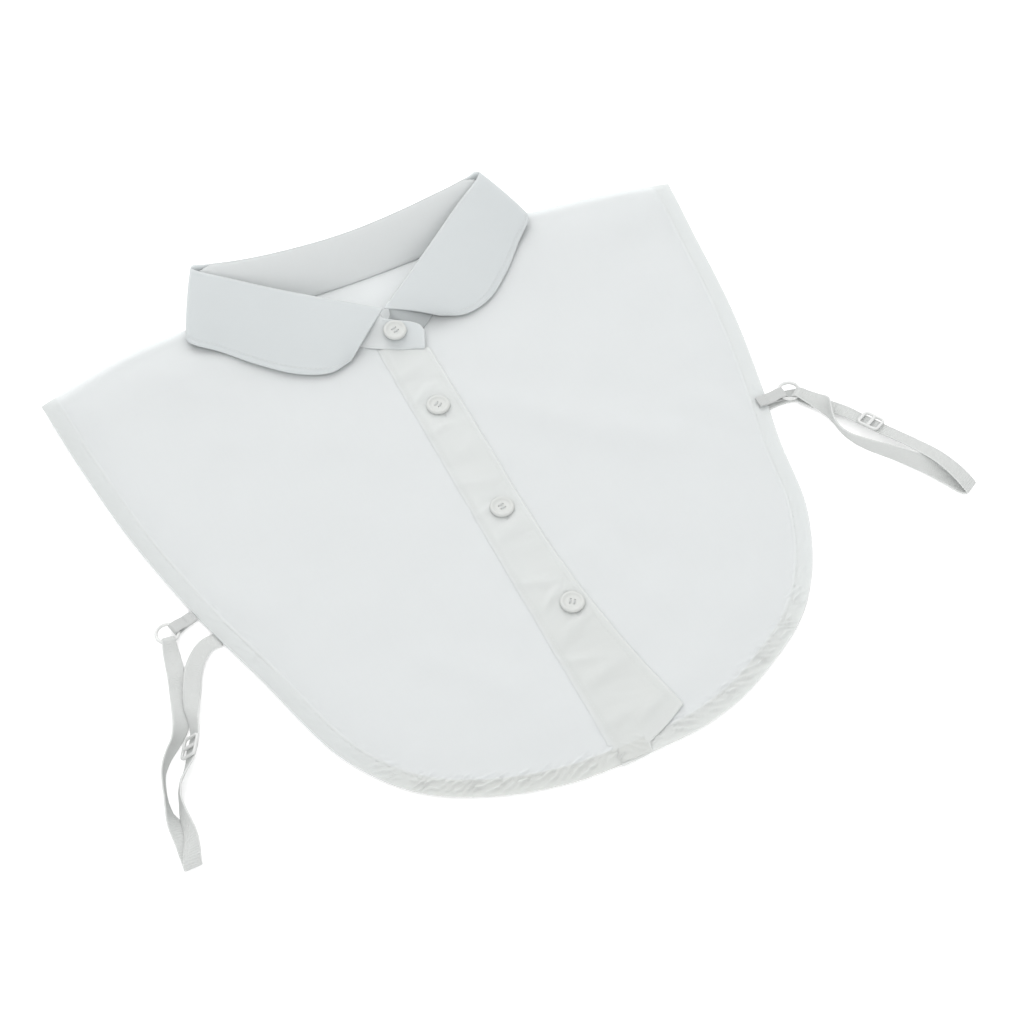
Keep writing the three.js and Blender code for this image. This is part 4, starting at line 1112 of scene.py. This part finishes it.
RIGHT_ROUTE = [
    (178.6, -6.6, 2, 37, 0, 7), (174.8, -1.8, 2, 37, 0, 6.4), (172.5, 1.3, 1.8, 37, 0, 5.4),
    (171.3, 2.9, 3.7, 37, 0, 5.4), (172.5, 1.3, 5.6, 37, 0, 5.4), (175.6, -2.4, 4.8, 34, 0, 6.8),
    (178.4, -6.2, 4.4, 26, 8, 7.6), (180.6, -10.6, 5, 14, 36, 8), (180.7, -16, 5.4, 4, 80, 8),
    (180.2, -22.4, 4.9, 0, 104, 8), (180.2, -29, 4.8, 6, 110, 8), (182.4, -35.6, 4.7, 24, 104, 8),
    (187.8, -43.4, 4.6, 38, 88, 8), (198.4, -55.4, 4.5, 40, 70, 8), (208.6, -67.4, 3.2, 38, 38, 8),
    (214.6, -77, 1.8, 30, 12, 8), (219.2, -85.6, 0.9, 28, 0, 8), (221, -88.6, 2.8, 28, 0, 8),
    (220, -85.6, 4.8, 28, 0, 8), (218, -77, 6.2, 26, -6, 8), (214, -66.6, 7.4, 28, -12, 8),
    (208, -53.4, 6, 29, -16, 8), (203.2, -43.8, 4.6, 30, -16, 8), (199.9, -37.9, 4, 31, -14, 8),
    (196.3, -31.8, 3.8, 31, -14, 8), (192.7, -25.7, 3.6, 31, -14, 8), (190.2, -20.8, 3.2, 36, -12, 8),
    (187.4, -16.2, 2.4, 42, -8, 8), (183.2, -10.4, 1.2, 46, 0, 8), (179.4, -3, 0.7, 40, 0, 8),
    (174.7, 2, 0.7, 60, 0, 8), (167.5, 4.2, 0.7, 78, 0, 7.4), (160, 4.4, 0.7, 88, 0, 7),
    (155, 4.2, 0.7, 90, 0, 7),
]
RIB_PITCH = 1.25
RIB_DEPTH = 0.00012
ELASTIC_WALL = 0.85


def band_grid(path, sides, columns):
    """A flat band: the path's points and the vectors of its width at them."""
    shares = np.linspace(-0.5, 0.5, columns)
    return path[:, None] + sides[:, None] * shares[None, :, None]


def strap_lines(route, steps):
    rows = np.array(route, float)
    at = np.linspace(0, 1, steps)
    path = through(rows[:, :3])(at)
    spots = at * (len(rows) - 1)
    side, tilt, width = (np.interp(spots, range(len(rows)), rows[:, k]) for k in (3, 4, 5))
    turn, rise = np.radians(side), np.radians(tilt)
    sides = np.stack([np.cos(turn) * np.cos(rise), np.sin(turn) * np.cos(rise), np.sin(rise)], 1)
    return path, sides * width[:, None]


def elastic_piece(name, route, node, steps=900):
    path, sides = strap_lines(route, steps)
    grid = band_grid(path, sides, 9)
    lengths = cloth_lengths(grid)
    piece = shell(name, grid, ELASTIC_WALL, ELASTIC, lengths, run=lengths[..., 0])
    run_tree(piece, rib_tree, Pitch=RIB_PITCH, Depth=RIB_DEPTH, Cloth=ELASTIC)
    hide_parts(node)
    total = np.linalg.norm(np.diff(path, axis=0), axis=1).sum()
    print(name, "is", round(float(total)), "mm of elastic")
    return piece


pieces.append(elastic_piece("elastic_left_band", LEFT_ROUTE, "elastic_left"))
pieces.append(elastic_piece("elastic_right_band", RIGHT_ROUTE, "elastic_right"))

# %% [markdown]
# ## Rings and ribbon tabs
# A plastic ring hangs in a loop of ribbon whose two ends are sewn to the side of the bib. The ring is a
# fine torus, and the ribbon is a band that goes round its wire.

# %% Rings
RING_RADIUS = 5.4
RING_WIRE = 0.9
TABS = [  # side, ring, length, heading, rise
    ("left", (-173.6, 5, 2.9), 10.2, 15, 0),
    ("right", (169.7, 5.1, 3.7), 13.2, 180, 2),
]


def torus(name, centre, material, steps=72, sides=20):
    angles = np.arange(steps) * math.tau / steps, np.arange(sides) * math.tau / sides
    a, w = np.meshgrid(*angles, indexing="ij")
    radius = RING_RADIUS + RING_WIRE * np.cos(w)
    points = np.stack([radius * np.cos(a), radius * np.sin(a), RING_WIRE * np.sin(w)], -1).reshape(-1, 3)
    index = np.arange(steps * sides).reshape(steps, sides)
    turned, raised = np.roll(index, -1, 0), np.roll(index, -1, 1)
    faces = np.stack([index, turned, np.roll(turned, -1, 1), raised], -1).reshape(-1, 4)
    return mesh_piece(name, points + np.array(centre), faces, np.zeros((len(points), 2)), material, {})


for side, ring, length, heading, rise in TABS:
    hoop = torus(f"ring_{side}_hoop", ring, MILKY)
    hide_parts(f"ring_{side}")
    pieces.append(hoop)
    print(hoop.name, len(hoop.data.polygons), "faces")

# %% Tabs
TAB_WIDTH = 6
TAB_CLOTH = 0.5
TAB_HALF_GAP = 0.42
WIRE_GAP = 0.45


def tab_piece(side, ring, length, heading, rise):
    bend = RING_WIRE + WIRE_GAP
    turns = np.linspace(math.pi / 2, 1.5 * math.pi, 9)
    round_wire = [(bend * math.cos(a) - 1.2, bend * math.sin(a)) for a in turns]
    layers = TAB_HALF_GAP
    loop = [(length, layers), (length * 0.75, layers), (4.6, layers + 0.05), (1.2, bend), *round_wire,
            (1.2, -bend), (4.6, -layers - 0.05), (length * 0.75, -layers), (length, -layers)]
    way, lift = math.radians(heading), math.radians(rise)
    turn = Matrix.Rotation(way, 3, "Z") @ Matrix.Rotation(-lift, 3, "Y")
    start = Vector(ring) + RING_RADIUS * Vector((math.cos(way), math.sin(way), 0))
    path = through([start + turn @ Vector((x, 0, z)) for x, z in loop])(np.linspace(0, 1, 160))
    across = np.array(turn @ Vector((0, TAB_WIDTH, 0)))
    grid = band_grid(path, np.broadcast_to(-across, path.shape), 9)
    piece = shell(f"tab_{side}_ribbon", grid, TAB_CLOTH, RIBBON)
    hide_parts(f"tab_{side}")
    up = np.array(turn @ Vector((0, 0, 1)))
    seams = []
    for x in (length - 1, length - 4.6):
        line = [start + turn @ Vector((x, y, layers + 0.32)) for y in np.linspace(-2.4, 2.4, 7)]
        seams.append(stitch_line("seam", np.array(line), up, 1.5, 1.3, 0.36))
    thread = joined(f"tab_{side}_stitches", seams)
    return [piece, thread]


for row in TABS:
    pieces += tab_piece(*row)
print("tabs:", [piece.name for piece in pieces[-4:]])

# %% [markdown]
# ## Slides
# The slide is a small moulded frame with a bar across its middle. It is drawn as a rounded loop of wire
# and a straight bar, joined into one body, and stands square to the elastic where the elastic passes it.

# %% Slides
SLIDE_LENGTH = 12
SLIDE_WIDTH = 11.4
SLIDE_RAIL = 1.55
SLIDE_CORNER = 1.8
SLIDE_LIFT = 1.55
SLIDE_ROWS = {"left": (LEFT_ROUTE, 30), "right": (RIGHT_ROUTE, 24)}
SECTION_SIDES = 16
SECTION_POWER = 0.7
ROW_STEPS = 20


def swept(name, path, wide, high, material, closed):
    """A flattened round section carried along a path in the XY plane."""
    path = np.array(path, float)
    ahead = np.roll(path, -1, 0) - np.roll(path, 1, 0) if closed else np.gradient(path, axis=0)
    ahead /= np.linalg.norm(ahead, axis=1, keepdims=True)
    aside = np.stack([ahead[:, 1], -ahead[:, 0], 0 * ahead[:, 0]], 1)
    angles = np.arange(SECTION_SIDES) * math.tau / SECTION_SIDES
    round_x, round_z = (np.sign(f(angles)) * np.abs(f(angles)) ** SECTION_POWER for f in (np.cos, np.sin))
    offsets = (aside[:, None] * (wide / 2 * round_x)[None, :, None]
               + np.array((0, 0, 1.0)) * (high / 2 * round_z)[None, :, None])
    points = (path[:, None] + offsets).reshape(-1, 3)
    index = np.arange(len(points)).reshape(len(path), SECTION_SIDES)
    ahead_index = np.roll(index, -1, 0) if closed else index[1:]
    here = index if closed else index[:-1]
    faces = np.stack([here, np.roll(here, -1, 1), np.roll(ahead_index, -1, 1), ahead_index], -1)
    faces = faces.reshape(-1, 4).tolist()
    if not closed:
        faces += [index[0, ::-1].tolist(), index[-1].tolist()]
    mesh = bpy.data.meshes.new(name)
    mesh.from_pydata((points / 1000).tolist(), [], faces)
    mesh.materials.append(material)
    return new_object(name, mesh)


def slide_piece(side, route, row):
    half_long, half_wide = (SLIDE_LENGTH - SLIDE_RAIL) / 2, (SLIDE_WIDTH - SLIDE_RAIL) / 2
    loop = []
    for quarter, (sx, sy) in enumerate(((1, 1), (-1, 1), (-1, -1), (1, -1))):
        for k in range(7):
            a = (quarter + k / 6) * math.pi / 2
            loop.append((sx * (half_long - SLIDE_CORNER) + SLIDE_CORNER * math.cos(a),
                         sy * (half_wide - SLIDE_CORNER) + SLIDE_CORNER * math.sin(a), 0))
    body = swept(f"slide_{side}_frame", loop, SLIDE_RAIL, 1.4, MILKY, True)
    bar = swept("bar", [(0, y, 0) for y in np.linspace(-half_wide, half_wide, 9)], 1.9, 1.3, MILKY, False)
    cut_from(body, [bar], "UNION")
    shade_by_angle(body, 40)
    path, sides = strap_lines(route, (len(route) - 1) * ROW_STEPS + 1)
    here = row * ROW_STEPS
    along = Vector(path[here + 1] - path[here - 1]).normalized()
    up = Vector(sides[here]).cross(along).normalized()
    turn = Matrix((along, up.cross(along), up)).transposed().to_4x4()
    body.data.transform(Matrix.Translation((Vector(path[here]) + up * SLIDE_LIFT) / 1000) @ turn)
    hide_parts(f"slide_{side}")
    return body


for side, (route, row) in SLIDE_ROWS.items():
    pieces.append(slide_piece(side, route, row))
print("slides:", [piece.name for piece in pieces[-2:]])

# %% [markdown]
# ## Seams and buttonholes
# Stitches are small, but up close they are what makes cloth read as sewn. The hem, the placket, the
# edges of the collar and the ribbon tabs of the straps each get their line, laid a hair above the cloth it
# holds.

# %% Stitch lines
def along_grid(grid, wall, chosen):
    """The chosen line of a grid, brought to its upper side, and the upward direction there."""
    normal = grid_normals(grid)[chosen]
    return grid[chosen] + normal * wall / 2, normal


PLACKET_STITCH_WALL = 0.84
seam_lines = []


def sew(name, slot, *args, **sizes):
    line = stitch_line(name, *args, **sizes)
    seam_lines.append(line)


for name, share in (("placket_stitches_sewn", SEWN_STITCHES), ("placket_stitches_free", FREE_STITCHES)):
    column = int(np.argmin(np.abs(across_share - share)))
    line, ups = along_grid(settled(placket), PLACKET_STITCH_WALL, np.s_[column, 12:-12])
    sew(name, "poplin", line, ups, thickness=0.24)
sew("fall_stitches", "collar_cloth", *along_grid(fall_grid, COLLAR_WALL, np.s_[3:-3, -3]), thickness=0.28)

# %% [markdown]
# Each button sits in a buttonhole edged with close stitches; the stitches are modelled, and the slit
# between them is not. It is a little longer than the button, so both of its ends show. On the tab it
# runs along the band.

# %% Buttonholes
HOLE_LENGTH = 15.5
HOLE_SIDE = 0.62
HOLE_RISE = 0.45
HOLE_SAMPLES = 25
STAND_ROW = 9
HOLE_STITCH = dict(pitch=0.5, length=1.0, thickness=0.34, turn=math.pi / 2)


def buttonhole(name, line, ups):
    """Two rows of close stitches, square to a line on the cloth."""
    aside = np.cross(ups, np.gradient(line, axis=0))
    aside /= np.linalg.norm(aside, axis=1, keepdims=True)
    rows = [stitch_line("row", line + aside * shift, ups, **HOLE_STITCH) for shift in (-HOLE_SIDE, HOLE_SIDE)]
    edging = joined(name, rows)
    seam_lines.append(edging)


for name, x, y, *_ in BUTTONS[1:]:
    ys = y + np.linspace(-0.5, 0.5, HOLE_SAMPLES) * HOLE_LENGTH
    xs = np.full(HOLE_SAMPLES, float(x))
    top = front_under(xs, ys) + PLACKET_LIFT + crease_height(xs, ys) + HOLE_RISE
    buttonhole(name.replace("button", "buttonhole"), np.stack([xs, ys, top], 1),
               np.tile((0, 0, 1.0), (HOLE_SAMPLES, 1)))
line, ups = along_grid(stand_grid, STAND_WALL, np.s_[1:-1, STAND_ROW])
middle = int(np.argmin(np.linalg.norm(line[:90, :2] - BUTTONS[0][1:3], axis=1)))
runs = np.concatenate([[0], np.cumsum(np.linalg.norm(np.diff(line[:120], axis=0), axis=1))])
near = np.where(np.abs(runs - runs[middle]) < HOLE_LENGTH / 2)[0]
buttonhole("buttonhole_stand", line[near], ups[near])


# %% Stitches of the hem
def hem_line(sign, start, stop):
    """The hem's stitches, on the upper side of the front, a hem's width inside the edge."""
    spots = np.linspace(start, stop, 700)
    rim = outline(spots)[:, :2]
    ahead = np.gradient(rim, axis=0)
    inward = np.stack([-ahead[:, 1], ahead[:, 0]], 1) / np.linalg.norm(ahead, axis=1, keepdims=True)
    line = rim + inward * (HEM - HEM_STITCH)
    groove = HEM_GROOVE * gathered(line[:, 1])
    height = front_under(line[:, 0], line[:, 1]) + 0.5 * WALL + HEM_LIFT - groove + HEM_WALL / 2
    return settled(np.stack([sign * line[:, 0], line[:, 1], height + 0.05], 1))


for side, sign, start in (("left", -1, 0.03), ("right", 1, 0.02)):
    sew(f"hem_stitches_{side}", "poplin", hem_line(sign, start, 0.99), (0, 0, 1),
        pitch=3.0, length=2.2, thickness=0.26)
print("stitches:", sum(len(s.data.polygons) // (BEAD_SEGMENTS * BEAD_RINGS) for s in seam_lines))

# %% [markdown]
# ## Putting it together
# Every piece rides on the one body there is, and a table lists for each cloth piece its slot, how large
# it lies flat, how it is held and what it rests on. The sizes and areas were measured on the grids above.

# %% Collect and attach
cloths = [  # piece, slot, flat width and length, flat area, held, rests on
    (back_panel, "poplin", (0.360, 0.333), 0.0950, "laid", "table"),
    (front_left, "poplin", (0.175, 0.334), 0.0442, "laid", back_panel),
    (front_right, "poplin", (0.193, 0.335), 0.0491, "laid", back_panel),
    (placket_strip, "poplin", (0.043, 0.278), 0.0080, "laid", front_right),
    (stand, "collar_cloth", (0.412, 0.030), 0.0099, "stretched", back_panel),
    (fall, "collar_cloth", (0.408, 0.046), 0.0150, "folded", stand),
]
for piece, slot, cut, flat_area, held, under in cloths:
    pieces.append(piece)
for piece in pieces + seam_lines:
    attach(piece, "root")
